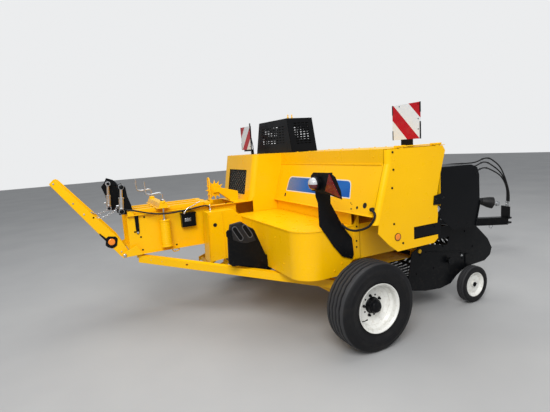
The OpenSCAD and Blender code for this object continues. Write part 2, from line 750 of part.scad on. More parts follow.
module board_right() {
    placed() {
        color(white) slab([476, -110, 1712], [480, 205, 2005]);
        color(black) slab([480, -20, cover_top], [486, 40, 1990]);
    }
}

module board_left() {
    placed() {
        color(white) slab([-4, track - 185, 1712], [0, track + 125, 2005]);
        color(black) {
            slab([0, track - 188, cover_top], [6, track - 160, 2040]);
            slab([0, track - 160, 1690], [6, track + 60, 1714]);
        }
    }
}

tyre_right();
rim_right();
tyre_left();
rim_left();
axle();
brace();
chamber();
plunger();
tension_rails();
springs();
density_plates();
density_cylinders();
metering_arm();
metering_wheel();
counter();
side_cover();
chute();
chute_ears();
feeder();
twine_box();
rear_cover();
end_cover();
knotter_housing();
knotter_cover();
front_hood();
pickup();
lift_tube();
reel();
gauge_tyre();
gauge_rim();
windguard();
drawbar();
front_frame();
jack_tube();
jack_leg();
gearbox();
flywheel();
drive_shaft();
drive_yoke();
flywheel_shield();
needle_frame();
light_arm();
chock_holder();
board_right();
board_left();
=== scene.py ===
# %% [markdown]
# # A square baler, dressed around its CAD frame
# The machine stands parked in a plain studio: bale chamber and chute at the back, feeder and pickup
# on the right, drawbar at the front. The CAD solids give every main form. This file gives them
# their paint, rubber and steel, and adds what is too small for CAD: tread, bolts, lamps, stripes.
# Each cell makes one thing and prints what it made, so it can be run and read step by step.

# %% Load the frame
import json
import math
import random

import bmesh
import bpy
from mathutils import Matrix, Vector


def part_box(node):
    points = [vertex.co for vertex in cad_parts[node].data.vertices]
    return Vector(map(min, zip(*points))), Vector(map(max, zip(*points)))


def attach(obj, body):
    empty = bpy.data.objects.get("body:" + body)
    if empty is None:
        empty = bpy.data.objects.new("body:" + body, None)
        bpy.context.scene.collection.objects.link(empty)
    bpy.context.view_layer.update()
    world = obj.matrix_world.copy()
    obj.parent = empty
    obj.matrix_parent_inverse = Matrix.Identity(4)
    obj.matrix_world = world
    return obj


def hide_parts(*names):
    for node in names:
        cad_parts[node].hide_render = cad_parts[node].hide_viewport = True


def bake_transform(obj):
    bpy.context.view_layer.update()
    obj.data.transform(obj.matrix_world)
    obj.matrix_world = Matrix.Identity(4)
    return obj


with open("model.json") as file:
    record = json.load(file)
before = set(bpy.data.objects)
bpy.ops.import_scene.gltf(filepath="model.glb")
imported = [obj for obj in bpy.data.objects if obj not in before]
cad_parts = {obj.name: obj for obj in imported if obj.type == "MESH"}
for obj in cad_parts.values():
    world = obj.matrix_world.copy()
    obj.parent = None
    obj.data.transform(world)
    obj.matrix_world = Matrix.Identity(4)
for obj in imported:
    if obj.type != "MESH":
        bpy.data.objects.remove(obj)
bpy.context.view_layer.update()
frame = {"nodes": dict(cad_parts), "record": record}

NODES = frame["nodes"]

# %% [markdown]
# ## Places on the machine
# The machine's own drawing counts millimetres forward from the axle, to the left from the right
# wheel and up from the ground. The frame's origin is under the middle of the machine instead.
# `at` turns the first into the second, and takes the axle's place from the right tyre's box, so
# it follows the CAD if the machine gets longer.

# %% A helper for places
tyre_low, tyre_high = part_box("tyre_right")
AXLE = (tyre_low + tyre_high) / 2


def at(x, y, z):
    """A place on the machine in millimetres, as a point of the frame in metres."""
    return Vector((AXLE.x + x / 1000, AXLE.y + y / 1000, z / 1000))


print("axle at", tuple(round(v, 3) for v in AXLE))

# %% [markdown]
# ## Camera
# The photograph was taken standing behind the machine's right rear corner, with a wide lens held
# a little tilted. Place, lens and tilt were solved from the vanishing lines of the covers and the
# size of the tyres, so a right solid falls on its own picture. A camera looks along its own -Z.

# %% Camera
CAMERA_AT = (-2.775, -3.731, 1.716)
CAMERA_TURN = 1.11063
CAMERA_DOWN = 0.14442
CAMERA_ROLL = 0.06621

look = Vector((math.cos(CAMERA_DOWN) * math.cos(CAMERA_TURN),
               math.cos(CAMERA_DOWN) * math.sin(CAMERA_TURN), -math.sin(CAMERA_DOWN)))
level = Vector((math.sin(CAMERA_TURN), -math.cos(CAMERA_TURN), 0))
under = look.cross(level)
right = math.cos(CAMERA_ROLL) * level + math.sin(CAMERA_ROLL) * under
up = math.sin(CAMERA_ROLL) * level - math.cos(CAMERA_ROLL) * under
camera = bpy.data.objects.new("camera", bpy.data.cameras.new("camera"))
bpy.context.scene.collection.objects.link(camera)
camera.matrix_world = Matrix((right, up, -look)).transposed().to_4x4()
camera.matrix_world.translation = CAMERA_AT
camera.data.sensor_width = 36
camera.data.lens = 26.246
camera.data.clip_start = 0.05
bpy.context.scene.camera = camera
print("camera", CAMERA_AT, "lens", camera.data.lens)

# %% [markdown]
# ## Studio
# An overcast yard lights a machine from everywhere, a little more from above. An even world does
# that, and two wide lamps give the soft shadow under it. The floor is plain and grey. The camera
# sees the world as a paler wall, while light and reflections take the quieter one.

# %% Floor, world and lamps
scene = bpy.context.scene
scene.view_settings.view_transform = "Standard"
world = bpy.data.worlds.new("studio")
scene.world = world
world.use_nodes = True
wtree = world.node_tree
room = wtree.nodes["Background"]
room.inputs["Color"].default_value = (0.93, 0.96, 1.0, 1)
room.inputs["Strength"].default_value = 0.52
seen = wtree.nodes.new("ShaderNodeBackground")
seen.inputs["Color"].default_value = (0.93, 0.94, 0.95, 1)
seen.inputs["Strength"].default_value = 0.9
rays = wtree.nodes.new("ShaderNodeLightPath")
choice = wtree.nodes.new("ShaderNodeMixShader")
wtree.links.new(rays.outputs["Is Camera Ray"], choice.inputs["Fac"])
wtree.links.new(room.outputs[0], choice.inputs[1])
wtree.links.new(seen.outputs[0], choice.inputs[2])
wtree.links.new(choice.outputs[0], wtree.nodes["World Output"].inputs[0])

for name, place, target, size, watts in (("key_lamp", (-4.5, -6.0, 6.5), (0, 0, 0.8), 5.0, 640),
                                         ("top_lamp", (0.5, 0.5, 8.0), (0, 0, 0), 7.0, 300)):
    lamp = bpy.data.lights.new(name, "AREA")
    lamp.shape, lamp.size, lamp.energy = "DISK", size, watts
    obj = bpy.data.objects.new(name, lamp)
    obj.location = place
    obj.rotation_euler = (Vector(target) - Vector(place)).to_track_quat("-Z", "Y").to_euler()
    scene.collection.objects.link(obj)

bpy.ops.mesh.primitive_plane_add(size=60, location=(0, 0, 0))
floor = bpy.context.object
floor.name = "studio_floor"
print("floor, world and 2 lamps")

# %% [markdown]
# ## Small tools for materials
# A finish is a colour that isn't quite even, a gloss that isn't either, and a fine relief. All
# three come from noise in the object's own coordinates. Those are in metres and stick to the
# piece, so the grain has its real size and doesn't slide when a joint moves.

# %% Material helpers
DUST = (0.36, 0.30, 0.22)


def finish(name, roughness, metallic=0.0, specular=0.5, coat=0.0):
    """A new material, its node tree and its main shader."""
    mat = bpy.data.materials.new(name)
    mat.use_nodes = True
    shader = mat.node_tree.nodes["Principled BSDF"]
    for socket, value in (("Roughness", roughness), ("Metallic", metallic),
                          ("Specular IOR Level", specular), ("Coat Weight", coat)):
        shader.inputs[socket].default_value = value
    return mat, mat.node_tree, shader


def put(tree, kind, **values):
    """A new node with its settings and unlinked inputs filled in."""
    made = tree.nodes.new("ShaderNode" + kind)
    for key, value in values.items():
        name = key.replace("_", " ").title()
        if name in made.inputs:
            made.inputs[name].default_value = value
        else:
            setattr(made, key, value)
    return made


def pattern(tree, kind, output=0, **values):
    """A texture laid on by the object's own coordinates, in metres."""
    made = put(tree, "Tex" + kind, **values)
    tree.links.new(tree.nodes.new("ShaderNodeTexCoord").outputs["Object"], made.inputs["Vector"])
    return made.outputs[output]


def spot_parts(tree):
    """The three coordinates of a point, in metres."""
    parts = put(tree, "SeparateXYZ")
    tree.links.new(tree.nodes.new("ShaderNodeTexCoord").outputs["Object"], parts.inputs[0])
    return parts.outputs


def stretch(tree, value, low, high, to_low=0.0, to_high=1.0):
    """A value from low..high brought to to_low..to_high."""
    made = put(tree, "MapRange")
    for i, number in zip((1, 2, 3, 4), (low, high, to_low, to_high)):
        made.inputs[i].default_value = number
    tree.links.new(value, made.inputs[0])
    return made.outputs[0]


def noise(tree, scale, detail=3.0, low=0.3, high=0.7):
    """Noise with so many bumps to the metre, spread to 0..1."""
    return stretch(tree, pattern(tree, "Noise", scale=scale, detail=detail), low, high)


print("nodes, patterns and noise ready")

# %% [markdown]
# ## Sums, mixes and relief
# A share of dust or rust is a product of a few noises, and a colour is a mix by that share. Each
# finish could have its whole node tree drawn by hand, but small functions read like a recipe and
# all finishes share them. The relief starts from a bevel, because no edge on a real machine is
# sharp.

# %% Sums, mixes and relief
def fill(tree, made, sockets, values):
    """Each socket of a node gets a number, a colour or another node's output."""
    for i, value in zip(sockets, values):
        if isinstance(value, (int, float)):
            made.inputs[i].default_value = value
        elif isinstance(value, tuple):
            made.inputs[i].default_value = (*value, 1)
        else:
            tree.links.new(value, made.inputs[i])


def sum_of(tree, operation, *values):
    """One sum on values, each a number or another node's output."""
    made = put(tree, "Math", operation=operation, use_clamp=operation == "MULTIPLY")
    fill(tree, made, (0, 1, 2), values)
    return made.outputs[0]


def mix(tree, share, a, b):
    """Two colours mixed by a share; each is three numbers or another node's output."""
    made = put(tree, "Mix", data_type="RGBA")
    fill(tree, made, (0, 6, 7), (share, a, b))
    return made.outputs[2]


def coloured(tree, shader, tone, dust=None):
    """The shader's colour, with dust on it by a share."""
    tree.links.new(mix(tree, dust, tone, DUST) if dust else tone, shader.inputs["Base Color"])


def patchy(tree, share, scale=14.0, low=0.45):
    """A share that comes and goes in small patches."""
    return sum_of(tree, "MULTIPLY", noise(tree, scale, 6.0, low, 0.8), share)


def relief(tree, shader, *layers):
    """Bump layers, each (height value, depth in metres), on edges rounded by a bevel."""
    edge = put(tree, "Bevel", samples=4, radius=0.0025)
    normal = edge.outputs[0]
    for height, depth in layers:
        bump = put(tree, "Bump", strength=1.0, distance=depth)
        fill(tree, bump, ("Height", "Normal"), (height, normal))
        normal = bump.outputs[0]
    tree.links.new(normal, shader.inputs["Normal"])


print("material helpers ready")

# %% [markdown]
# ## Paint
# Sheet steel with two coats of enamel: even colour, a faint orange peel, long soft waves where
# the sheet was pressed and bolted, and road dust that thins out upwards. One function makes
# yellow, black and white, because on the machine they come from the same kind of gun.

# %% Paint
def paint(name, colour, shade, roughness, dust, specular=0.5, coat=0.03):
    """Enamel of a colour, shaded patches of it, road dust low down and the relief of sheet metal."""
    mat, tree, shader = finish(name, roughness, 0.0, specular, coat)
    tone = mix(tree, noise(tree, 1.7, 4.0), colour, shade)
    specks = noise(tree, 38.0, 6.0, 0.52, 0.78)
    low_down = stretch(tree, spot_parts(tree)[2], 1.35, 0.25)
    dusty = sum_of(tree, "MULTIPLY", sum_of(tree, "MULTIPLY", specks, low_down), dust)
    coloured(tree, shader, tone, dusty)
    gloss = stretch(tree, noise(tree, 9.0, 5.0), 0, 1, roughness - 0.05, roughness + 0.09)
    tree.links.new(sum_of(tree, "ADD", gloss, dusty), shader.inputs["Roughness"])
    relief(tree, shader, (noise(tree, 2.6, 1.0), 0.0012), (noise(tree, 420.0, 1.0), 0.00004))
    shader.inputs["Coat Roughness"].default_value = 0.12
    return mat


YELLOW = paint("yellow_enamel", (0.95, 0.52, 0.0004), (0.89, 0.475, 0.0004), 0.30, 0.08, 0.2)
BLACK = paint("black_enamel", (0.0022, 0.0026, 0.0035), (0.004, 0.0045, 0.0055), 0.36, 0.03, 0.12, 0.04)
WHITE = paint("white_enamel", (0.78, 0.78, 0.74), (0.72, 0.71, 0.66), 0.34, 0.5)
print("3 paints")

# %% [markdown]
# ## Steel, plastic and rubber
# What rubs on twine, hay or itself has no paint: tines, rods, chains. Steel there is a brushed grey
# with a few brown spots. Guards are matt moulded plastic, and hoses a dull black rubber.

# %% Bare metal, plastic and rubber
RUST = (0.16, 0.07, 0.03)


def bare_steel(name, colour, roughness, rust):
    """Brushed steel with spots of surface rust."""
    mat, tree, shader = finish(name, roughness, 1.0)
    spots = sum_of(tree, "MULTIPLY", noise(tree, 26.0, 8.0, 0.56, 0.72), rust)
    coloured(tree, shader, mix(tree, spots, colour, RUST))
    tree.links.new(stretch(tree, spots, 0, 1, roughness, 0.85), shader.inputs["Roughness"])
    tree.links.new(stretch(tree, spots, 0, 1, 1.0, 0.2), shader.inputs["Metallic"])
    relief(tree, shader, (noise(tree, 300.0, 3.0), 0.00006))
    return mat


def moulded(name, colour, roughness, grain=900.0, depth=0.00008):
    """Moulded plastic or rubber with a fine grain and a little dust."""
    mat, tree, shader = finish(name, roughness, specular=0.3)
    coloured(tree, shader, colour, patchy(tree, 0.04))
    relief(tree, shader, (noise(tree, grain, 2.0), depth))
    return mat


STEEL = bare_steel("bare_steel", (0.56, 0.57, 0.58), 0.34, 0.7)
BRIGHT = bare_steel("bright_steel", (0.70, 0.71, 0.72), 0.18, 0.15)
PLASTIC = moulded("black_plastic", (0.006, 0.006, 0.007), 0.45)
RUBBER = moulded("tyre_rubber", (0.006, 0.006, 0.007), 0.62, 260.0, 0.0002)
print("2 steels, plastic and rubber")

# %% [markdown]
# ## Dressing the CAD nodes
# A CAD node whose form is right keeps its solid and only gets a better material. The record says
# which finish each node has, so one table from the record's slots to these materials does it.

# %% Finishes onto the CAD nodes
BY_SLOT = {"yellow_paint": YELLOW, "black_paint": BLACK, "white_paint": WHITE,
           "bare_steel": STEEL, "black_plastic": PLASTIC, "tyre": RUBBER}
slot_of = {row["node"]: row["material_slot"] for row in frame["record"]["subparts"]}
for name, obj in NODES.items():
    obj.data.materials.clear()
    obj.data.materials.append(BY_SLOT[slot_of[name]])
print(len(NODES), "nodes painted")

floor_mat, tree, shader = finish("studio_floor", 0.8)
coloured(tree, shader, mix(tree, noise(tree, 0.9, 3.0), (0.36, 0.36, 0.36), (0.40, 0.40, 0.395)))
floor.data.materials.append(floor_mat)

# %% [markdown]
# ## Tools for shapes
# Every small piece below is one of five things: turned on a lathe, cut from plate, bent from rod or
# hose, punched with slots, or a bolt. The functions here make those as lists of corners and faces,
# in the machine's own millimetres, and `piece` joins them into one mesh on one moving body.

# %% Shape helpers
END, LEFT_WAY, BACK, FRONT, UP = (0, -1, 0), (0, 1, 0), (-1, 0, 0), (1, 0, 0), (0, 0, 1)


def rings_joined(rings, closed=False):
    """Corners and faces of a skin over rings of equally many corners, capped unless it closes."""
    n, m = len(rings[0]), len(rings)
    faces = [(i * n + j, i * n + (j + 1) % n, (i + 1) % m * n + (j + 1) % n, (i + 1) % m * n + j)
             for i in range(m if closed else m - 1) for j in range(n)]
    if not closed:
        faces += [tuple(range(n))[::-1], tuple((m - 1) * n + j for j in range(n))]
    return [v for ring in rings for v in ring], faces


def turned(profile, place, axis, steps=32, turn=0.0, hollow=False):
    """A lathe piece: (radius, distance) pairs along an axis; a hollow one's profile closes on itself."""
    side, over, along = Vector(axis).to_track_quat("Z", "X").to_matrix().transposed()
    rings = []
    for radius, distance in profile:
        middle = Vector(place) + along * distance
        rings.append([middle + radius * (math.cos(a) * side + math.sin(a) * over)
                      for a in (turn + math.tau * i / steps for i in range(steps))])
    return rings_joined(rings, hollow)


def collar(profile, place, axis, steps=24):
    """A lathe piece with a hole through it."""
    return turned(profile, place, axis, steps, 0, True)


def rod(radius, length, place, axis, steps=24):
    """A plain round bar."""
    return turned([(radius, 0), (radius, length)], place, axis, steps)


def slab(spot, outline, levels):
    """A plate cut to an outline of pairs; spot(a, b, level) places its corners on each face."""
    return rings_joined([[Vector(spot(a, b, face)) for a, b in outline] for face in levels])


def side_plate(outline, y0, y1):
    """A plate cut to an outline of (x, z) pairs, between two places across the machine."""
    return slab(lambda x, z, y: (x, y, z), outline, (y0, y1))


def cross_plate(outline, x0, x1):
    """A plate cut to an outline of (y, z) pairs, between two places along the machine."""
    return slab(lambda y, z, x: (x, y, z), outline, (x0, x1))


def as_is(x, y, z):
    """A place that is in machine millimetres already."""
    return x, y, z


def block(low, high, spot=as_is):
    """A box between two corners, each placed by spot."""
    (x, y, z), (X, Y, Z) = low, high
    return slab(spot, [(x, y), (X, y), (X, Y), (x, Y)], (z, Z))


print("lathe pieces and plates ready")

# %% [markdown]
# ## Slotted sheet, rods and hoses
# A slot could be cut with a Boolean, but dozens of them leave a mesh of slivers. Here a sheet is
# a grid of cells and a slot is a cell left out. A rod is rings set square to its way, and a hose
# is a rod along a soft curve through a few chosen points.

# %% Slotted sheet, rods and hoses
def punched(spot, us, vs, hole, thick):
    """Sheet with square holes: spot(u, v) places it, us and vs are the cuts, hole(i, j) says which go."""
    n, m = len(us), len(vs)
    grid = [spot(u, v) for u in us for v in vs]
    corners = grid + [p + Vector(thick) for p in grid]
    low = lambda i, j: i * m + j
    solid = {(i, j) for i in range(n - 1) for j in range(m - 1) if not hole(i, j)}
    faces = []
    for i, j in solid:
        a, b, c, d = low(i, j), low(i + 1, j), low(i + 1, j + 1), low(i, j + 1)
        faces += [(d, c, b, a), tuple(k + n * m for k in (a, b, c, d))]
        for p, q, beside in ((a, b, (i, j - 1)), (b, c, (i + 1, j)), (c, d, (i, j + 1)), (d, a, (i - 1, j))):
            if beside not in solid:
                faces.append((p, q, q + n * m, p + n * m))
    return corners, faces


def smooth_route(points, n=6):
    """A soft curve through points, n steps between two of them."""
    p = [Vector(q) for q in points]
    route = []
    for i in range(len(p) - 1):
        a, b, c, d = p[max(i - 1, 0)], p[i], p[i + 1], p[min(i + 2, len(p) - 1)]
        for t in (j / n for j in range(n)):
            route.append(0.5 * (2 * b + (c - a) * t + (2 * a - 5 * b + 4 * c - d) * t * t
                                + (3 * b - a - 3 * c + d) * t ** 3))
    return route + [p[-1]]


def bent(points, diameter, sides=10, closed=False, soft=0):
    """A rod or hose along points, with rings square to its way; soft rounds it in so many steps."""
    p = smooth_route(points, soft) if soft else [Vector(q) for q in points]
    m = len(p)
    lean = None
    rings = []
    for i in range(m):
        before, after = (p[i - 1], p[(i + 1) % m]) if closed else (p[max(i - 1, 0)], p[min(i + 1, m - 1)])
        way = (after - before).normalized()
        if lean is None:
            lean = way.orthogonal()
        lean = (lean - lean.dot(way) * way).normalized()
        over = way.cross(lean)
        rings.append([p[i] + diameter / 2 * (math.cos(a) * lean + math.sin(a) * over)
                      for a in (math.tau * j / sides for j in range(sides))])
    return rings_joined(rings, closed)


print("slotted sheet, rods and hoses ready")

# %% [markdown]
# ## Bolts and rivets
# Two kinds of head hold a baler's sheets: a hexagon bolt on its washer, and a round coach bolt or
# rivet. Both are lathe pieces, the hexagon with six steps, and each bolt is turned by chance as a
# real one is. Copies of one mesh would be lighter, but here a whole row becomes a single piece.

# %% Bolts and rivets
def bolt(place, axis, size=10):
    """A hexagon head of a thread size on its washer, as two solids."""
    return [turned([(1.15 * size, -0.5), (1.15 * size, 1.8), (size, 2.2)], place, axis, 20),
            turned([(0.92 * size, 2.2), (0.92 * size, 0.75 * size), (0.7 * size, 0.9 * size)],
                   place, axis, 6, random.random())]


def dome(place, axis, size=10):
    """A round coach bolt or rivet head."""
    return [turned([(size, -0.5), (size, 0.15 * size), (0.85 * size, 0.4 * size), (0.5 * size, 0.6 * size),
                    (0.1 * size, 0.66 * size)], place, axis, 16)]


def heads(kind, places, axis, size):
    """Several bolts or domes that look the same way."""
    return [solid for p in places for solid in kind(p, axis, size)]


def on_side(y, *spots):
    """Places (x, z) on a sheet that stands at y."""
    return [(x, y, z) for x, z in spots]


print("bolts and rivets ready")

# %% [markdown]
# ## From solids to a piece
# All solids of one piece become one mesh, so it rides on one body and has one name. Edges sharper
# than an angle stay hard and the rest are smoothed, which is how pressed and turned steel looks.
# Some CAD nodes keep their solid and only get a second colour on some faces.

# %% From solids to a piece
def piece(name, solids, material, body="frame", angle=35, instead=None):
    """One mesh of solids given in machine millimetres, on a body, instead of a CAD node if it says so."""
    corners, faces = [], []
    for verts, polys in solids:
        faces += [tuple(len(corners) + i for i in poly) for poly in polys]
        corners += [at(*v) for v in verts]
    mesh = bpy.data.meshes.new(name)
    mesh.from_pydata(corners, [], faces)
    shape = bmesh.new()
    shape.from_mesh(mesh)
    bmesh.ops.recalc_face_normals(shape, faces=shape.faces)
    shape.to_mesh(mesh)
    shape.free()
    mesh.polygons.foreach_set("use_smooth", [True] * len(faces))
    mesh.set_sharp_from_angle(angle=math.radians(angle))
    mesh.materials.append(material)
    obj = bpy.data.objects.new(name.replace(" ", "_").replace(",", ""), mesh)
    scene.collection.objects.link(obj)
    if isinstance(body, str):
        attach(obj, body)
    else:
        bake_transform(obj)
    if instead:
        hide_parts(instead)
    print(name + ":", len(solids), "solids,", len(faces), "faces")
    return obj


def second_finish(node, material, chosen):
    """Faces of a CAD node whose middle, in machine millimetres, passes a test get another finish."""
    obj = NODES[node]
    obj.data.materials.append(material)
    count = 0
    for face in obj.data.polygons:
        middle = (obj.matrix_world @ face.center) - Vector((AXLE.x, AXLE.y, 0))
        if chosen(*(middle * 1000)):
            face.material_index = len(obj.data.materials) - 1
            count += 1
    print(node, count, "faces in", material.name)


random.seed(7)
print("shape helpers ready")

# %% [markdown]
# ## Road tyres
# An implement tyre has no lugs. It has plain ribs round it, because the wheel is dragged and never
# drives, and the ribs keep it straight. So the tyre is one cross section swept round the axle: two
# side walls with a rim guard, and a slightly crowned tread with grooves that wander a little from
# side to side. Fine bars at the shoulder change from step to step. The tread is worn grey, and
# painted shade darkens its grooves.

# %% Tyres
SIDE_WALL = [(0.09, 0.40), (0.12, 0.435), (0.16, 0.435), (0.2, 0.43), (0.35, 0.475), (0.46, 0.494), (0.48, 0.488),
             (0.55, 0.498), (0.66, 0.493), (0.68, 0.484), (0.80, 0.466), (0.91, 0.43), (0.95, 0.405), (0.97, 0.385)]
GROOVE = [(0, -0.9), (1, -0.65), (1, 0.65), (0, 0.9)]
WANDER, SHOULDER_BAR, TREAD_SHARE, CROWN_SHARE = 2.8, 0.9, 0.66, 0.024


def tread_rubber(name, centre, outer, depth):
    """Rubber worn grey on the tread, with painted shade darkening the grooves, and dark on the walls."""
    mat, tree, shader = finish(name, 0.6, specular=0.3)
    x, _, z = spot_parts(tree)
    ways = [sum_of(tree, "SUBTRACT", value, middle)
            for value, middle in ((x, centre.x / 1000 + AXLE.x), (z, centre.z / 1000))]
    squares = [sum_of(tree, "POWER", sum_of(tree, "ABSOLUTE", way), 2) for way in ways]
    reach = sum_of(tree, "SQRT", sum_of(tree, "ADD", *squares))
    # Grey where the tread is worn; the dark deep in its grooves is painted shade, and the walls stay dark rubber.
    tread_wear_and_groove_shade = stretch(tree, reach, (outer - 0.9 * depth) / 1000, (outer - 0.35 * depth) / 1000)
    coloured(tree, shader, mix(tree, tread_wear_and_groove_shade, (0.002, 0.002, 0.003), (0.032, 0.032, 0.034)), patchy(tree, 0.02))
    relief(tree, shader, (noise(tree, 260.0, 2.0), 0.0002))
    return mat


print("tread rubber ready")

# %% [markdown]
# ## The tyre's form
# A tyre could be a lathe piece with a bump map for its tread, but its grooves show against the
# light at the edge. So each of its many rings gets its own cross section, moved a little to the
# side, and the skin over them is the tyre.

# %% Tyre form
def tyre(name, node, body, wide, bead, grooves, depth, steps):
    """A ribbed tyre in the box of a CAD tyre, which it replaces."""
    low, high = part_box(node)
    centre = (low + high) * 500 - Vector((AXLE.x, AXLE.y, 0)) * 1000
    outer = (high.z - low.z) * 500 - 0.5
    wall = outer - bead
    side = [(bead + 1, 0.34), (bead + 5, 0.375)] + [(bead + up * wall, share) for up, share in SIDE_WALL]
    rings = []
    for i in range(steps):
        swing = WANDER * (abs(i % 8 - 4) / 2 - 1)
        bar = SHOULDER_BAR if i % 2 else 0.0
        left = [(r - (bar if share < 0.44 and r > outer - 0.2 * wall else 0), -share * wide) for r, share in side]
        right = [(r, -across) for r, across in reversed(left)]
        tread = []
        for g in range(grooves):
            mid = (g + 0.5 - grooves / 2) * TREAD_SHARE * wide / grooves + swing
            tread += [(down * depth, mid + off * depth) for down, off in GROOVE]
        crown = [(outer - down - CROWN_SHARE * wide * (2 * across / wide) ** 2, across) for down, across in tread]
        a = math.tau * i / steps
        rings.append([centre + Vector((r * math.cos(a), across, r * math.sin(a)))
                      for r, across in left + crown + right])
    rubber = tread_rubber(name + " rubber", centre, outer - 2, depth)
    piece(name, [rings_joined(rings, True)], rubber, body, 28, node)
    return centre


RIGHT = tyre("road tyre right", "tyre_right", "wheel_right", 262, 197, 4, 13, 184)
LEFT = tyre("road tyre left", "tyre_left", "wheel_left", 262, 197, 4, 13, 184)
GAUGE = tyre("gauge wheel tyre", "gauge_tyre", "gauge_wheel", 89, 121, 2, 5, 96)

# %% [markdown]
# ## Wheel centres
# A rim is rolled from one strip: a lip, a bead seat, and a well that lets the tyre on. A dished disc
# is pressed into it and held on a black hub by five nuts, with a small hole between every two. All
# of that is turned on one axis, so one profile of radius and distance makes it. The valve comes
# out of the rim beside the disc.

# %% Rims, hubs, nuts and valves
RIM = [(207.6, 116), (207.6, 111), (195.6, 96), (195.4, 62), (176, 46), (176, -46), (195.4, -62), (195.6, -96),
       (207.6, -111), (207.6, -116), (202, -116), (189, -99), (188, -58), (169, -42), (169, 22), (150, 15),
       (138, 5), (126, 6), (61, 8), (61, 16), (126, 14), (138, 13), (152, 23), (169, 30), (169, 40), (188, 60),
       (189, 99), (202, 116)]
GAUGE_RIM = [(126, 40), (126, 37), (119.6, 32), (119.6, -32), (126, -37), (126, -40), (122, -40), (112, -29),
             (92, 4), (56, 12), (31, 4), (31, -28), (12.6, -28), (12.6, 29), (31, 29), (31, 12), (56, 19), (96, 11),
             (113, 29), (122, 40)]
BARREL = [(60, -54), (60, 58), (56, 60), (51, 61), (50, 74), (44, 82), (28, 86), (1, 87), (1, 78), (25.2, 78),
          (25.2, -54)]
HUB_FLANGE = [(70, 14), (70, 19), (64, 23), (61, 30), (60, 30), (60, 14)]
SEAT, NUT, STUD = [(13, 10), (13, 18), (11, 20)], [(11.5, 18), (11.5, 28), (10, 30)], [(7, 28), (7, 37), (5.5, 39)]
STUD_CIRCLE, HOLE_CIRCLE, CAP_CIRCLE = 86, 88, 47


def around(centre, radius, angle, y=0.0):
    """A place at a radius and an angle round a crosswise axle."""
    return Vector(centre) + Vector((radius * math.cos(angle), y, radius * math.sin(angle)))


for label, centre, out in (("right", RIGHT, -1), ("left", LEFT, 1)):
    way, body = (0, out, 0), "wheel_" + label
    piece("wheel rim " + label, [collar(RIM, centre, way, 96)], WHITE, body, 30, "rim_" + label)
    hub = [collar(profile, centre, way, 48) for profile in (BARREL, HUB_FLANGE)]
    for a in (math.radians(30 + 72 * i) for i in range(5)):
        spot = around(centre, STUD_CIRCLE, a)
        hub += [turned(SEAT, spot, way, 24), turned(NUT, spot, way, 6, a), turned(STUD, spot, way, 16),
                turned([(8, 10), (8, 16.5), (7, 17)], around(centre, HOLE_CIRCLE, a + 0.628), way, 20)]
    hub += heads(bolt, [around(centre, CAP_CIRCLE, math.radians(15 + 90 * k), out * 61) for k in range(4)], way, 4)
    piece("hub and nuts " + label, hub, BLACK, body)
    stem = [centre + Vector((-116, out * y, -112 + 16 * k)) for k, y in enumerate((30, 62, 84))]
    piece("valve " + label, [bent(stem, 8, soft=3),
                             turned([(5.5, 0), (5.5, 12), (4, 14)], stem[2], (0, out, 0.7), 12)], PLASTIC, body)
piece("gauge wheel rim", [collar(GAUGE_RIM, GAUGE, END, 72)], WHITE, "gauge_wheel", 30, "gauge_rim")
piece("gauge wheel pin", [turned([(24, 29.4), (24, 33), (12.4, 33), (12.4, 42), (10, 43)], GAUGE, END, 24),
                          bent([GAUGE + Vector((x, -39, z)) for x, z in ((-24, -5), (0, 0), (26, 7))], 5)],
      BLACK, "gauge_wheel")

# %% [markdown]
# ## Warning boards
# Both boards carry reflecting foil in red and white bars at 45 degrees that point down and out.
# The bars are a colour rule on one coordinate: height less distance to the side. The foil's fine
# honeycomb is a shallow relief, and black strips hold each board to its post.

# %% Striped boards
FOIL_WHITE, FOIL_RED = (0.66, 0.70, 0.74), (0.40, 0.001, 0.008)
BAR_MIDDLE, BAR_HALF, CORNER = 1.745, 0.070, 1.990


def striped(name, outward, edge):
    """Red and white foil; outward is -1 or 1 and edge the wheel's middle plane on that side."""
    mat, tree, shader = finish(name, 0.26, specular=0.3)
    _, y, z = spot_parts(tree)
    across = sum_of(tree, "SUBTRACT", y, edge)
    shifted = sum_of(tree, "SUBTRACT" if outward < 0 else "ADD", z, across)
    bar = sum_of(tree, "COMPARE", shifted, BAR_MIDDLE, BAR_HALF)
    red = sum_of(tree, "MAXIMUM", bar, sum_of(tree, "GREATER_THAN", shifted, CORNER))
    coloured(tree, shader, mix(tree, red, FOIL_WHITE, FOIL_RED), patchy(tree, 0.06, 24.0, 0.5))
    relief(tree, shader, (pattern(tree, "Voronoi", scale=420.0), 0.0002))
    return mat


print("striped foil ready")

# %% [markdown]
# ## Foil and strips on the boards
# Each board's bars are measured from its wheel's middle plane, so the two boards mirror each
# other. The backs, the posts and the feet stay black, and so do the strips that clamp the boards.

# %% Foil and strips
for label, outward, wheel in (("right", -1, RIGHT), ("left", 1, LEFT)):
    foil = striped("striped_foil_" + label, outward, wheel.y / 1000 + AXLE.y)
    NODES["board_" + label].data.materials[0] = foil
second_finish("board_right", BLACK, lambda x, y, z: x > 480.2 or z < 1711
              or x > 479.5 and -20.5 < y < 40.5 and 1649 < z < 1991)
second_finish("board_left", BLACK, lambda x, y, z: x > 0.2 or z < 1711 or z > 2006)
piece("board strips right", [block(*corners) for corners in (
    ((474.4, 197, 1711), (481.6, 207, 1790)), ((474.4, 197, 1925), (481.6, 207, 2006)),
    ((474.4, -112, 1711), (481.6, -103, 1850)), ((474.4, -112, 1925), (481.6, -103, 2006)),
    ((476, 40, 1651), (486, 108, 1725)), ((475, -24, 1651), (479.6, 44, 1711.5)),
    ((486, -6, 1651), (520, 26, 1657)))]
      + heads(dome, [(476, -88, 1790), (476, -88, 1872), (476, 120, 1990), (476, -88, 1990)], BACK, 5), BLACK)
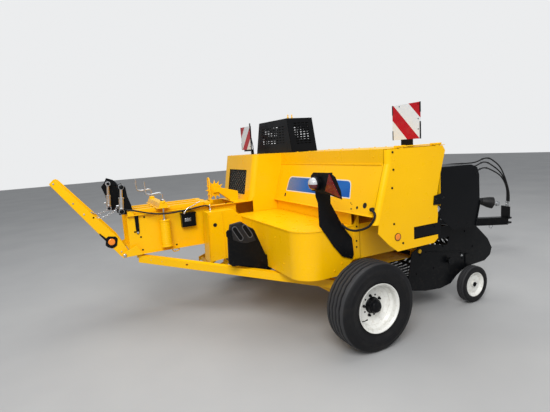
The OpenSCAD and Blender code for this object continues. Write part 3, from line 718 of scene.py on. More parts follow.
piece("board strips left", [block(*corners) for corners in (
    ((-5.6, 2535, 1711), (0.6, 2546, 1800)), ((-5.6, 2535, 1925), (0.6, 2546, 2006)),
    ((-5.6, 2234, 1711), (0.6, 2243, 2006)))] + heads(dome, [(-4, 2262, z) for z in (1750, 1960)], BACK, 6), BLACK)

# %% [markdown]
# ## Rear lamps and reflectors
# The right lamp sits on the black arm: a drum with a bulged lens, its upper half clear and its
# lower half dark red, beside a red triangle that only trailed machines have. A small amber disc
# marks the side of the end cover and one, on a black plate, the chute. On the left only the
# bracket of the board shows.

# %% Lamps and reflectors
def lens_glass(name, colour, lower=None, split=0.0):
    """Moulded lens with fine ribs; below the split height it can have a second colour."""
    mat, tree, shader = finish(name, 0.14, coat=0.6)
    below = sum_of(tree, "LESS_THAN", spot_parts(tree)[2], split)
    coloured(tree, shader, mix(tree, below, colour, lower or colour))
    relief(tree, shader, (pattern(tree, "Voronoi", scale=190.0), 0.0006))
    return mat


TAIL_LENS = lens_glass("tail_lens", (0.50, 0.51, 0.52), (0.10, 0.003, 0.006), 1.408)
RED_GLASS = lens_glass("red_reflector", (0.14, 0.003, 0.008))
AMBER = lens_glass("amber_reflector", (0.88, 0.24, 0.004))
print("3 kinds of lens ready")

# %% [markdown]
# ## The lamp on its arm
# The arm is one plate cut to a curved outline, because it has to lead round the feeder's corner.
# The lamp's drum, lens and rim are turned on one axis. The triangle is a flat plate.

# %% Light arm, tail lamp and discs
ARM = [(-341, 1491), (-167, 1481), (-195, 1400), (-201, 1230), (-87, 1018), (5, 899), (18, 756), (2, 716),
       (-103, 755), (-191, 861), (-247, 948), (-320, 1053), (-322, 1244), (-341, 1300)]
LAMP_PLATE = [(-132, 1308), (60, 1335), (280, 1345), (280, 1470), (240, 1497), (0, 1500), (-60, 1470), (-122, 1370)]
LENS = [(50, 0), (50, 12), (47, 25), (40, 36), (28, 44), (14, 48), (1, 49)]
BEZEL = [(51, -1), (56, -1), (56, 9), (52, 9)]
LAMP_FACE = (-371.5, 186, 1412)
DISC = [(27, 0), (27, 5), (24, 7), (12, 8), (1, 8)]
DISC_AT = (200, -118, 937)
piece("light arm", [side_plate(ARM, 224, 232), cross_plate(LAMP_PLATE, -345, -341),
                    turned([(57, 0), (57, 24), (54, 27)], (-345, 186, 1412), BACK, 48)]
      + [rod(18, 8, p, LEFT_WAY) for p in on_side(232, (-60, 780), (-40, 850), (-150, 880))],
      BLACK, instead="light_arm")
piece("tail lamp lens right", [turned(LENS, LAMP_FACE, BACK, 48)], TAIL_LENS)
piece("tail lamp rim right", [collar(BEZEL, LAMP_FACE, BACK, 48)], PLASTIC)
piece("red triangle right", [cross_plate([(-118, 1320), (72, 1358), (10, 1490)], -352, -345)], RED_GLASS)
piece("board bracket left", [block((-2, 2235, 1690), (24, 2420, 1713)), block((0, 2244, 1651), (24, 2262, 1713)),
                             bent([(6, 2254, 1712), (6, 2244, 1800), (6, 2240, 2005)], 16, 8),
                             bent([(12, 2250, 1860), (12, 2215, 1760), (12, 2205, 1652)], 12, 8)], BLACK)
piece("amber reflector, end cover", [turned(DISC, DISC_AT, END, 40)], AMBER, "end_cover")
piece("reflector ring, end cover", [collar([(28, -0.5), (31, -0.5), (31, 6), (28, 6)], DISC_AT, END, 40)],
      PLASTIC, "end_cover")

# %% [markdown]
# ## Chute
# The bale chute is two pressed side rails with five cross bars and three runners. It is folded up on
# its hinge pins. The rails swell near the hinge, where the load is highest. It could be drawn flat
# and turned, but places in the machine's own frame keep every piece alike. So a place on it is the
# distance from the pin, the distance square to the rail, and the place across the machine.

# %% Chute
CHUTE_PIN = Vector((-1712, 0, 752))
TILT = math.radians(55)
UP_CHUTE = Vector((-math.cos(TILT), 0, math.sin(TILT)))
OVER_CHUTE = Vector((math.sin(TILT), 0, math.cos(TILT)))


def on_chute(along, over, y):
    """A place on the chute: along it from its pin, square to it, and across the machine."""
    spot = CHUTE_PIN + along * UP_CHUTE + over * OVER_CHUTE
    return Vector((spot.x, y, spot.z))


RAIL = [(-24, -20), (-24, 20), (14, 56), (130, 74), (530, 55), (930, 33), (952, 22), (960, 0), (956, -26),
        (680, -30), (230, -30), (10, -34)]
LOWER_FLANGE = [(20, -30), (950, -26), (950, -31), (20, -35)]
RUNNER = [(60, 12), (940, 12), (940, 20), (60, 20)]
PLATE = [(118, -14), (128, -42), (166, -62), (194, -62), (242, -14), (242, 14), (194, 62), (166, 62), (118, 14)]
PLATE_FOOT = [(225, -34), (312, -34), (318, -22), (225, -10)]
chute = []
for y, wall, inner in ((1698, 1704, 1730), (2168, 2168, 2142)):
    chute += [slab(on_chute, RAIL, (y, y + 6)), slab(on_chute, LOWER_FLANGE, (wall, inner))]
chute += [rod(11, 464, on_chute(180 * i, 2, 1704), LEFT_WAY, 20) for i in range(1, 6)]
chute += [slab(on_chute, RUNNER, (y - 12, y + 12)) for y in (1810, 1936, 2062)]
piece("bale chute", chute, YELLOW, "chute", instead="chute")
piece("reflector plate, chute", [slab(on_chute, PLATE, (1693, 1699)), slab(on_chute, PLATE_FOOT, (1693.5, 1698.5))]
      + heads(dome, [on_chute(a, o, 1693) for a, o in ((230, 0), (130, 0), (180, 50), (180, -50))], END, 5),
      BLACK, "chute")
piece("amber reflector, chute", [turned([(r * 1.2, d) for r, d in DISC], on_chute(180, 0, 1693), END, 40)],
      AMBER, "chute")
piece("chute bolts", heads(bolt, [on_chute(a, 0, 1698) for a in (690, 550, 934, 40)], END, 7)
      + heads(bolt, [on_chute(a, 0, 2174) for a in (690, 550, 934, 180)], LEFT_WAY, 7), STEEL, "chute")
piece("chute pin caps", [turned([(17, 0), (17, 5), (11, 7), (11, 12), (1, 13)], (-1712, y, 752), (0, out, 0), 28)
                         for y, out in ((1645, -1), (2227, 1))], STEEL)

# %% [markdown]
# ## The blue band
# The rear cover carries a long band of foil: pale at the outer end, deep blue at the other, with a
# thin white border and two rounded corners. A picture on the sheet could show it, but a thin foil
# of its own keeps a sharp edge at any distance. It lies a hair off the leaning sheet and follows
# its slope.

# %% Blue band, seam and fold
COVER_SLOPE = 120 / (1530 - 1128)


def on_rear_cover(y, z, off=0.0):
    """A place on the leaning rear cover, off millimetres out from its sheet."""
    return Vector((-10 + (z - 1128) * COVER_SLOPE - off, y, z))


def band(name, corners, off, material):
    """A foil with rounded corners on the rear cover."""
    outline = []
    for i, (y, z, radius) in enumerate(corners):
        here, before, after = (Vector(corners[j % 4][:2]) for j in (i, i - 1, i + 1))
        a, b = (before - here).normalized(), (after - here).normalized()
        outline += [here + radius * ((1 - t) ** 2 * a + t ** 2 * b) for t in (0, 0.25, 0.5, 0.75, 1)]
    piece(name, [slab(on_rear_cover, outline, (off - 0.6, off))], material)


foil, tree, shader = finish("blue_foil", 0.24, specular=0.25)
inward = stretch(tree, spot_parts(tree)[1], AXLE.y + 1.44, AXLE.y + 1.02)
pale = mix(tree, inward, (0.14, 0.19, 0.29), (0.001, 0.085, 0.38))
streak = stretch(tree, pattern(tree, "Wave", 1, scale=1.3, distortion=6.0), 0.6, 1.0)
coloured(tree, shader, mix(tree, sum_of(tree, "MULTIPLY", streak, 0.22), pale, (0.04, 0.22, 0.55)))
relief(tree, shader, (noise(tree, 60.0, 2.0), 0.0001))
band("band border", [(1386, 1392, 60), (1405, 1234, 6), (254, 1238, 6), (284, 1393, 50)], 0.8, WHITE)
band("blue band", [(1377, 1383, 54), (1394, 1243, 3), (265, 1247, 3), (292, 1384, 44)], 1.2, foil)
piece("rear cover seam", [side_plate([(110.5, 1534), (103, 1531), (103, 1521), (108.5, 1521)], -60, 1638)], YELLOW)
FOLD = [(1131, -1), (1131, 5), (1122, 7), (1118, 4), (1118, -1)]
piece("rear cover fold", [slab(lambda z, off, y: on_rear_cover(y, z, off), FOLD, (-66, 1638))], YELLOW)

# %% [markdown]
# ## Bolts and plugs on the covers
# Sheet covers are held by small hexagon bolts along their folded edges. They are what makes the
# size of a big plain cover readable. Each pair or triple is one place in millimetres. Black bolts
# are burnished, yellow ones were painted with the sheet. The feeder's folded lip and the upright
# beside it are made here too, under their bolts.

# %% Fasteners of the covers
END_COVER, COVER_TOP, CHAMBER_RIGHT, CHAMBER_LEFT = -118, 1650, 1700, 2172
OFF_COVER, OFF_HOUSING = (-0.958, 0, 0.286), (-0.985, 0, 0.173)
PLUG = [(1, -0.5), (1, 2.5), (0.8, 3.2), (0.72, 1.2), (0.05, 1.0)]
piece("end cover bolts, black", heads(bolt, on_side(END_COVER, (165, 1620), (170, 1483), (153, 1340), (165, 1049),
                                                    (257, 877)), END, 8), BLACK, "end_cover")
piece("end cover rivets", heads(dome, on_side(END_COVER, (460, 1587), (456, 1383), (499, 1204), (180, 1560),
                                              (118, 1190), (118, 905), (610, 1560), (560, 1050)), END, 5),
      YELLOW, "end_cover")
piece("top edge bolts", heads(bolt, [(150, y, COVER_TOP) for y in (120, 330, 532, 800, 1080, 1330, 1560)], UP, 8)
      + heads(bolt, [(735, y, COVER_TOP) for y in (20, 183, 400, 581, 744, 1000, 1300, 1574)], UP, 8)
      + heads(dome, [on_rear_cover(y, 1142) for y in (180, 520, 860, 1200, 1540)], OFF_COVER, 6)
      + heads(dome, [(110, y, 1590) for y in (40, 560, 1080, 1600)], BACK, 6), YELLOW)
piece("rear cover plugs", [turned([(r * size, d) for r, d in PLUG], on_rear_cover(y, z), OFF_COVER, 28)
                           for y, z, size in ((47, 1201, 23), (138, 1175, 12), (212, 1158, 7), (232, 1205, 5),
                                              (1410, 1182, 13), (1410, 1198, 13), (215, 1196, 4))], PLASTIC)

# %% [markdown]
# ## Chamber and feeder
# The chamber's walls are bolted to its rails from outside. The feeder's top edge is folded into a
# lip that follows its rounded corner, so the lip's outline has two arcs round one centre. An
# upright of angle steel stands beside it.

# %% Chamber bolts, feeder lip and upright
piece("chamber wall bolts", heads(bolt, on_side(
    CHAMBER_RIGHT, (-1586, 790), (-1529, 768), (-1586, 963), (-1482, 1103), (-1543, 1120), (-1534, 903),
    (-1180, 765), (-1180, 1110)), END, 8) + heads(bolt, on_side(
        CHAMBER_LEFT, (-1600, 790), (-1500, 1100), (-1180, 765), (-1180, 1110), (-700, 900), (0, 1100), (600, 790),
        (1200, 790), (1600, 1100)), LEFT_WAY, 8)
      + heads(bolt, [(x, y, 1138) for x in (-600, -520) for y in (1682, 2192)], UP, 7), BLACK)


def feeder_corner(radius, steps):
    """The rounded rear corner of the feeder, as (x, y) pairs."""
    return [(-300 - radius * math.cos(a), 440 - radius * math.sin(a)) for a in (math.pi * k / 32 for k in steps)]


LIP = [(-506, 1655), (-506, 434), *feeder_corner(206, range(1, 16)), (-294, 234), (30, 234), (30, 246), (-290, 246),
       *feeder_corner(190, range(15, 0, -1)), (-490, 440), (-490, 1655)]
piece("feeder lip", [slab(as_is, LIP, (1000, 1011))], YELLOW, angle=25)
LIP_RIVETS = [(-478, 1031), (-478, 1330), (-478, 700), (-440, 380), (-300, 268), (-126, 262)]
piece("feeder lip bolts", heads(dome, [(x, y, 1011) for x, y in LIP_RIVETS], UP, 8)
      + heads(bolt, [(-500, y, z) for y, z in ((700, 905), (1000, 720), (560, 690), (1300, 905))], BACK, 6)
      + heads(bolt, on_side(240, (-180, 640), (-60, 640), (-100, 690)), END, 7), YELLOW)
piece("upright beside the feeder", [side_plate([(34, 706), (98, 706), (98, 1120), (34, 1010)], 236, 240),
                                    block((94, 236, 706), (98, 300, 1122))], YELLOW)
piece("upright bolts", heads(bolt, on_side(236, (60, 864), (58, 810), (66, 990)), END, 7), BLACK)
piece("light arm bolts", heads(bolt, on_side(224, (-187, 880), (-124, 860), (-70, 780), (-20, 742), (-150, 1120)),
                               END, 9), BLACK)

# %% [markdown]
# ## Knotter housing
# Twine runs from the box over two small yellow guides on the knotter cover. The housing's rear
# wall leans, so a function places its bolts on the slope. The grille below uses it too.

# %% Twine guides and housing bolts
TWINE_GUIDE = [(9, -2), (9, 14), (6, 18), (5, 30), (8, 34), (6, 40), (1, 41)]
piece("twine guides", [turned(TWINE_GUIDE, (x, 1500, 2030), UP, 20) for x in (150, 200)], YELLOW, "knotter_cover")


def on_housing(y, z, inside=0.0):
    """A place on the leaning rear wall of the knotter housing, or millimetres inside its skin."""
    return Vector((-325 + (z - 1138) * 90 / 512 + inside, y, z))


piece("housing bolts", heads(bolt, [on_housing(1958, 1624), on_housing(1966, 1590), on_housing(1948, 1560)],
                             OFF_HOUSING, 6)
      + heads(bolt, [(x, 2550, z) for x in (-120, 150, 420, 660) for z in (1215, 1600)], LEFT_WAY, 7)
      + heads(dome, [(x, y, COVER_TOP) for x in (-180, 640) for y in (1720, 2000, 2300, 2500)], UP, 6), YELLOW)

# %% [markdown]
# ## The knotter cover
# The black cover over the knotters is a folded hood with rows of slots, so the air can pass and a
# hand can't. Its slots are real, because light falls through them: each wall is a sheet cut into
# cells, and the slot cells are left out. It turns on two knuckles at its front edge.

# %% Slotted knotter cover
LOW, TOP = 1650.3, 2030


def near_wall(z):
    """Where the cover's right wall stands at a height."""
    return 1397 + (z - LOW) * 82 / 380


def far_wall(z):
    """Where its left wall stands."""
    return 2341 - (z - LOW) * 129 / 380


def cuts(start, pitch, width, count):
    """Start and end of each slot along one way."""
    return [s for i in range(count) for s in (start + i * pitch, start + i * pitch + width)]


side_us = [120] + cuts(196, 52, 38, 4) + [450]
side_vs = [LOW] + cuts(LOW + 92, 25, 9, 10) + [TOP]
end_us = [1390] + cuts(1560, 76, 44, 8) + [2350]
end_vs = [LOW] + cuts(LOW + 110, 30, 9, 7) + [TOP]
slots = lambda i, j: i % 2 == 1 and j % 2 == 1
hood = [punched(lambda u, v: Vector((u, wall(v), v)), side_us, side_vs, slots, (0, thick, 0))
        for wall, thick in ((near_wall, 4), (far_wall, -4))]
hood += [punched(lambda u, v: Vector((x, min(max(u, near_wall(v)), far_wall(v)), v)), end_us, end_vs, slots,
                 (thick, 0, 0)) for x, thick in ((120, 4), (450, -4))]
hood += [block((120, 1479, 2026), (450, 2212, 2030))]
for y in (1761, 2071):
    hood += [collar([(8, 0), (8, 38), (4.1, 38), (4.1, 0)], (468, y, 1660), LEFT_WAY, 20),
             block((446, y, 1654), (461, y + 38, 1666))]
piece("knotter cover", hood + heads(dome, [(x, y, 2030) for x in (140, 430) for y in (1510, 1840, 2180)], UP, 6),
      BLACK, "knotter_cover", instead="knotter_cover")

# %% [markdown]
# ## The grille in the knotter housing
# Behind the opening in the housing's rear wall sits a sheet of expanded metal, so that chaff can
# fall out and hands stay out. It is a lattice of flat bars at a slant, in a frame of folded strip.
# The sheet behind it sits in the housing's shade but is painted pale, as painted light, so the bars stand out.

# %% Expanded metal grille
low_y, high_y, low_z, high_z = 1815, 2375, 1195, 1480
mid_y, mid_z = (low_y + high_y) / 2, (low_z + high_z) / 2
BAR_PITCH, BAR_SLANT, SHORTEST = 46, 0.62, 8


def rectangle(y0, z0, y1, z1):
    """The four corners of an upright rectangle."""
    return [(y0, z0), (y1, z0), (y1, z1), (y0, z1)]


bars = []
for way in (1, -1):
    for middle in (mid_z + BAR_PITCH * k for k in range(-22, 22)):
        slant = BAR_SLANT * way
        reach = sorted(mid_y + (z - middle) / slant for z in (low_z, high_z))
        ends = max(low_y, reach[0]), min(high_y, reach[1])
        if ends[1] - ends[0] > SHORTEST:
            bars.append(bent([on_housing(y, middle + slant * (y - mid_y), 9 - way) for y in ends], 12, 4))
edge = [on_housing(y, z, 10) for y, z in rectangle(low_y - 6, low_z - 6, high_y + 6, high_z + 6)]
piece("grille", bars + [bent(edge, 14, 4, True)], BLACK)
# Its pale colour is painted light: the sheet sits in shade inside the housing.
GUARD = moulded("guard_behind_grille", (0.42, 0.38, 0.30), 0.7)
sheet = rectangle(low_y - 20, low_z - 10, high_y + 20, high_z + 20)
piece("guard behind the grille painted lit", [slab(on_housing, sheet, (25, 27))], GUARD)

# %% [markdown]
# ## The end cover's slot and latch
# Low in the end cover a long slot opens on the black plate of the drive behind it. The cover is
# held at its front edge by a black latch with a bright striker, beside the front hood. A plain
# sheet closes the gap under the rear cover, and a black sheet above the pickup is painted shade
# in the dark gap there.

# %% Slot, latch and hood fittings
piece("sheet under the rear cover", [
    block((18, 246, 1011), (22, 1638, 1128)), block((18, 300, 1116), (60, 1638, 1120)),
    side_plate([(-290, 1011), (18, 1011), (18, 1176), (-290, 1176)], 1640, 1644)], YELLOW)
# A black sheet that is painted shade: it fills the dark gap behind the tyre and the pickup's side.
piece("panel above the pickup", [side_plate([(690, 1118), (690, 700), (1190, 745), (1190, 850), (1046, 850),
                                             (1010, 1040)], 180, 184)], BLACK)
piece("plate behind the slot", [side_plate([(366, 876), (706, 876), (706, 1000), (366, 1000)], -104, -100),
                                block((366, -100, 872), (706, 60, 876)), block((366, -100, 1000), (706, 60, 1004)),
                                block((700, -100, 876), (704, 60, 1000))]
      + heads(bolt, on_side(-104, (415, 970), (413, 906), (640, 960)), END, 8), BLACK)
piece("latch", [side_plate([(602, 1150), (612, 1226), (700, 1240), (716, 1200), (690, 1146)], -126, -118.5),
                turned([(16, 0), (16, 8), (12, 12)], (640, -118.5, 1190), END, 24),
                bent([(690, -124, 1196), (730, -118, 1200), (744, -90, 1206), (748, -40, 1210)], 12, soft=5)],
      BLACK, "end_cover")
piece("latch striker", [side_plate([(800, 1060), (846, 1096), (870, 1066), (826, 1024)], 38, 49.5),
                        turned([(14, -2), (14, 10), (8, 14)], (832, 38, 1062), END, 20)], BRIGHT)
piece("hood bolts", heads(dome, on_side(50, (1380, 900), (1370, 1340), (890, 1010), (1100, 870), (760, 1400),
                                        (760, 1130), (1250, 870)), END, 7)
      + heads(bolt, [(1391, y, z) for y in (470, 870, 1270) for z in (1260, 1360)], FRONT, 7), BLACK)
piece("hood ribs", [block((1390, y, 1236), (1398, y + 40, 1384)) for y in (450, 850, 1250)]
      + [side_plate([(1424, 1080), (1430, 1080), (1365, 838), (1359, 841)], 40, 56)], BLACK)

# %% [markdown]
# ## Hydraulic hoses
# Three hoses climb a post beside the drawbar's pin, run forward over the driveshaft and drop into
# the coupling rest at the front. Rubber hose never kinks, so each is a soft curve with a crimped
# steel sleeve at the bottom and a capped coupling in the rest. Places along the drawbar are the
# distance from its pin, the distance to its left, and the height. The drawbar's bolts, its hook
# and the jack's crank are made here too.

# %% Front hoses
PIN = Vector((1880, 1740, 0))
EYE = Vector((3640, 1200, 0))
FORWARD = (EYE - PIN).normalized()
LEFTWARD = Vector((-FORWARD.y, FORWARD.x, 0))
BEAM = (EYE - PIN).length


def on_beam(along, left, height):
    """A place on the drawbar."""
    spot = PIN + along * FORWARD + left * LEFTWARD
    return Vector((spot.x, spot.y, height))


def beam_middle(along):
    """The height of the drawbar's middle, which falls towards the eye."""
    return 518 - (along - 42) * 98 / 1742


HOSES = [
    [(345, -119, 600.6), (345, -119, 1115), (420, -119, 1290), (800, -110, 1325), (1180, -96, 1322),
     (1370, -88, 1371), (1490, -86, 1340), (1640, -86, 1195), (1762, -86, 880), (1771, -86, 641)],
    [(345, -95, 600.6), (345, -95, 1115), (420, -95, 1270), (800, -82, 1280), (1180, -70, 1262),
     (1370, -64, 1316), (1505, -62, 1262), (1665, -62, 1120), (1770, -62, 880), (1771, -62, 641)],
    [(345, -71, 600.6), (345, -71, 1115), (420, -71, 1230), (800, -56, 1210), (1180, -44, 1170),
     (1370, -40, 1230), (1500, -38, 1200), (1680, -38, 1080), (1771, -38, 890), (1771, -38, 641)]]
SLEEVE = [(9.6, -0.4), (13.5, 0), (13.5, 12), (12, 14), (12, 46), (13, 48), (13, 58), (9.6, 60)]
CAP = [(9.6, -0.4), (17, 0), (17, 34), (13, 36), (13, 62), (15, 64), (15, 74), (9.6, 76)]


def hose(name, route, diameter, body):
    """A free hose along a route; it gives back the route's points."""
    path = smooth_route(route, 8)
    obj = piece(name, [bent(path, diameter, 14)], RUBBER, body, 60)
    return path


paths = [hose("front hose " + str(i + 1), [on_beam(*p) for p in route], 18.6, "drawbar")
         for i, route in enumerate(HOSES)]

# %% [markdown]
# ## Hose ends and the coupling rest
# The hoses end in crimped sleeves and capped couplings, which are turned collars slipped on the
# first and the last point of each route. Plastic ties hold the three together at three places.

# %% Sleeves, couplings, post and ties
piece("hose sleeves and couplings", [collar(profile, path[end], UP) for path in paths
                                     for profile, end in ((SLEEVE, 0), (CAP, -1))], BRIGHT, "drawbar")
piece("hose post and coupling rest", [block(*corners, on_beam) for corners in (
    ((296, -136, 500), (372, -52, 600)), ((300, -60, 500), (372, -46, 556)), ((306, -108, 598), (320, -84, 1290)),
    ((318, -132, 1100), (334, -58, 1130)), ((BEAM - 90, -104, 470), (BEAM - 60, 46, 640)))], BLACK, "drawbar")
piece("hose ties", [collar([(9.8, -9), (12, -8), (12, 8), (9.8, 9)], path[step], FORWARD, 20)
                    for step in (28, 38, 44) for path in paths], PLASTIC, "drawbar")

# %% [markdown]
# ## Fittings of the drawbar
# The drawbar falls a little towards its eye, so its bolts are set from its sloping middle line.
# The hook holds loose chains, and the jack is wound by a bent crank.

# %% Drawbar bolts, hook and jack crank
piece("drawbar bolts", heads(bolt, [on_beam(a, -50.5, beam_middle(a) + z) for a in (100, 160) for z in (30, -30)],
                             -LEFTWARD, 14)
      + heads(bolt, [on_beam(a, -136.5, 560) for a in (314, 354)], -LEFTWARD, 10)
      + heads(bolt, [on_beam(a, 50.5, beam_middle(a)) for a in (1035, 1085)], LEFTWARD, 8)
      + heads(bolt, [on_beam(BEAM - 100, 0, 465)], UP, 12), STEEL, "drawbar")
HOOK = [(1500, 388), (1500, 350), (1525, 330), (1552, 344), (1552, 376)]
piece("hook under the drawbar", [bent([on_beam(a, -30, z) for a, z in HOOK], 12, soft=5)], STEEL, "drawbar")
JACK_CRANK = [(2860, 738), (2860, 792), (2868, 806), (2960, 806), (2972, 818), (2972, 880)]
piece("jack crank", [bent(on_side(1573.5, *JACK_CRANK), 14, 12),
                     turned([(30, 0), (30, 6), (9, 6), (9, 22)], (2860, 1573.5, 739), UP, 28),
                     turned([(13, 0), (15, 8), (14, 60), (10, 68), (1, 69)], (2972, 1573.5, 850), UP, 20)],
      STEEL, "drawbar")

# %% [markdown]
# ## Side hose and lamp cable
# One hose feeds the density cylinders along the right side of the chamber. It hangs a little
# between its holders. The lamp cable drops from the rear cover in a loose loop to the lamp arm.
# Both are made like the front hoses, because a few points that are easy to move say it all.

# %% Side hose and cable
SIDE = [(-1672, 1766, 1196), (-1660, 1700, 1204), (-1590, 1655, 1190), (-1440, 1636, 1146), (-1290, 1600, 1124),
        (-1060, 1640, 1128), (-862, 1650, 1148), (-803, 1640, 1128), (-800, 1640, 1091)]
CABLE = [(-16, -70, 1180), (-22, -112, 1140), (-40, -60, 1052), (-60, 68, 1000), (-80, 160, 1000), (-95, 223, 1029)]
path = hose("side hose", SIDE, 16, "frame")
hose("lamp cable", CABLE, 19, "frame")
piece("side hose sleeves", [collar([(r * 0.86, d) for r, d in SLEEVE], path[-1], UP)], BRIGHT)
piece("cable grommet", [turned([(15, 0), (17, 5), (17, 22), (14, 30), (8, 33), (1, 34)], (6, -62, 1182), BACK, 24),
                        collar([(9.6, -1), (15, -1), (15, 5), (9.6, 5)], (-95, 224, 1029), END, 20)], PLASTIC)

# %% [markdown]
# ## Bale density gear
# Two hydraulic cylinders between black arms pull the chamber's rails together. The arms stand up
# over the mouth of the chamber. The cylinders' rods slide, so they are bright, and their barrels
# are dull steel. Further forward two yellow spring canisters pull a beam down on the rails, each
# set by its own crank. The toothed wheel that measures the bale's length turns in a hoop.

# %% Density arms, cylinders, springs and cranks
NEAR_ARM = [(-1583, 1186), (-1589, 1237), (-1617, 1332), (-1625, 1424), (-1668, 1468), (-1709, 1432), (-1696, 1381),
            (-1717, 1202), (-1712, 1152), (-1640, 1152), (-1640, 1186)]
FAR_ARM = [(-1583, 1186), (-1600, 1240), (-1640, 1340), (-1640, 1420), (-1697, 1485), (-1764, 1512), (-1790, 1461),
           (-1824, 1422), (-1795, 1332), (-1778, 1222), (-1740, 1152), (-1640, 1152), (-1640, 1186)]
MIDDLE_ARM = [(-1718, 1160), (-1718, 1216), (-1662, 1216), (-1640, 1176), (-1640, 1140)]
NEAR_PINS, FAR_PINS = ((-1668, 1430), (-1690, 1188)), ((-1757, 1452), (-1775, 1190))
BARREL = [(23, 20), (25, 24), (25, 34), (23, 36), (23, 128), (27, 130), (27, 142), (14, 143)]
piece("density arms", [side_plate(NEAR_ARM, 1720, 1732), side_plate(FAR_ARM, 2138, 2150),
                       side_plate(MIDDLE_ARM, 1860, 1870), rod(15, 480, (-1668, 1670, 1430), LEFT_WAY),
                       rod(15, 200, (-1690, 1670, 1188), LEFT_WAY)]
      + [rod(15, 88, p, LEFT_WAY) for p in on_side(2062, *FAR_PINS)]
      + [turned([(22, 0), (22, 6), (16, 10)], p, END, 24) for p in on_side(1672, *NEAR_PINS)],
      BLACK, instead="density_plates")
barrels, rods = [], []
for y, pins in ((1694, NEAR_PINS), (2097, FAR_PINS)):
    top, low = (Vector(p) for p in on_side(y, *pins))
    way = (top - low).normalized()
    barrels += [turned(BARREL, low, way, 28)]
    barrels += [turned([(26, -18), (26, 18)], p, LEFT_WAY, 28) for p in (low, top)]
    barrels += [turned([(9, 0), (9, 22), (6, 24)], low + Vector((-20, 0, 60)), BACK, 16)]
    rods += [turned([(13, 138), (13, (top - low).length - 18)], low, way, 28)]
piece("density cylinders", barrels, STEEL, instead="density_cylinders")

# %% [markdown]
# ## Hangers and rods
# The rails hang from the chamber's walls on short straps with one bright bolt each. The strap is
# a plate cut to an outline, narrow round its bolt.

# %% Rail hangers and cylinder rods
HANGER = [(-1574, 962), (-1570, 944), (-1558, 936), (-1546, 944), (-1542, 962), (-1538, 1132), (-1576, 1132)]
piece("rail hangers", [side_plate(HANGER, 1691, 1699.5), side_plate(HANGER, 2172.5, 2181)], BLACK)
piece("rail hanger bolts", bolt((-1558, 1691, 954), END, 9) + bolt((-1558, 2181, 954), LEFT_WAY, 9), BRIGHT)
piece("cylinder rods", rods, BRIGHT)

# %% [markdown]
# ## Rails, springs and cranks
# The tension on the bale comes from two springs in yellow canisters. Each pulls the cross beam
# down on the three rails and is set by a bent crank on top. Both sides are the same, so every
# lathe piece is made at both places by one call.

# %% Tension rails, spring canisters and cranks
SPRING_X, SPRING_YS = -1295, (1630, 2242)
YOKE = [(-1345, 1183), (-1245, 1183), (-1245, 1191), (-1262, 1233), (-1326, 1233), (-1345, 1191)]
YOKE_FOOT = [(-1362, 1181), (-1228, 1181), (-1228, 1187), (-1362, 1187)]
CANISTER = [(40, -8), (58, -8), (58, 2), (52, 4), (52, 256), (58, 258), (58, 268), (30, 272)]
CRANK = [(-1295, 1050), (-1295, 1180), (-1295, 1300), (-1303, 1328), (-1330, 1338), (-1400, 1331), (-1436, 1338),
         (-1454, 1362), (-1457, 1400), (-1457, 1465)]


def at_springs(shape, profile, height, steps):
    """The same lathe piece over both spring canisters."""
    return [shape(profile, (SPRING_X, y, height), UP, steps) for y in SPRING_YS]


rails = [block((-1650, y - 25, 1138), (-780, y + 25, 1183)) for y in (1760, 1936, 2112)]
rails += [block((x, 1670, 1138), (x + 60, 2202, 1178)) for x in (-1640, -840)]
rails += [side_plate(YOKE, 1605, 2267), side_plate(YOKE_FOOT, 1600, 2272)]
piece("tension rails", rails + at_springs(turned, [(30, 0), (30, 16), (24, 22)], 1233, 32), YELLOW,
      instead="tension_rails")
coils = [collar([(52, z), (53.6, z + 5), (52, z + 10)], (SPRING_X, y, 790), UP, 48)
         for y in SPRING_YS for z in range(20, 245, 22)]
piece("spring canisters", at_springs(turned, CANISTER, 790, 48) + coils
      + [block((-1325, y, 800), (-1265, y + 40, 830)) for y in (1660, 2172)], YELLOW, instead="springs")
piece("tension cranks", [bent(on_side(y, *CRANK), 19, 14, soft=4) for y in SPRING_YS], STEEL, angle=60)
CHAMBER_HOOK = [(-1230, 748), (-1230, 716), (-1215, 700), (-1180, 700), (-1160, 712), (-1180, 728), (-1205, 724)]
piece("chamber hook", [bent(on_side(1690, *CHAMBER_HOOK), 12, soft=5)], YELLOW, angle=60)
piece("crank nuts", at_springs(turned, [(21, 0), (21, 14), (17, 17)], 1255, 6)
      + at_springs(turned, [(26, 0), (26, 5), (8.2, 6)], 1062, 28), BRIGHT)

# %% [markdown]
# ## The bale length wheel
# The toothed wheel that measures the bale's length is in the CAD already. It only needs its
# yellow, and the hoop of round rod that keeps hands off it.

# %% Bale length wheel and its hoop
second_finish("metering_wheel", YELLOW, lambda x, y, z: True)
HOOP = [(1966, 1170), (1966, 1400), (1956, 1420), (1916, 1420), (1906, 1400), (1906, 1170)]
piece("star wheel hoop", [bent([(-700, y, z) for y, z in HOOP], 16), block((-720, 1890, 1138), (-680, 1982, 1176))],
      YELLOW)

# %% [markdown]
# ## Bale counter
# A small black box with a window on the chamber's side counts the bales. A bent lever of round
# rod runs from its shaft to the knotters. The box is three plain blocks, as it is folded from flat
# sheet, and the lever is a soft curve through six points.

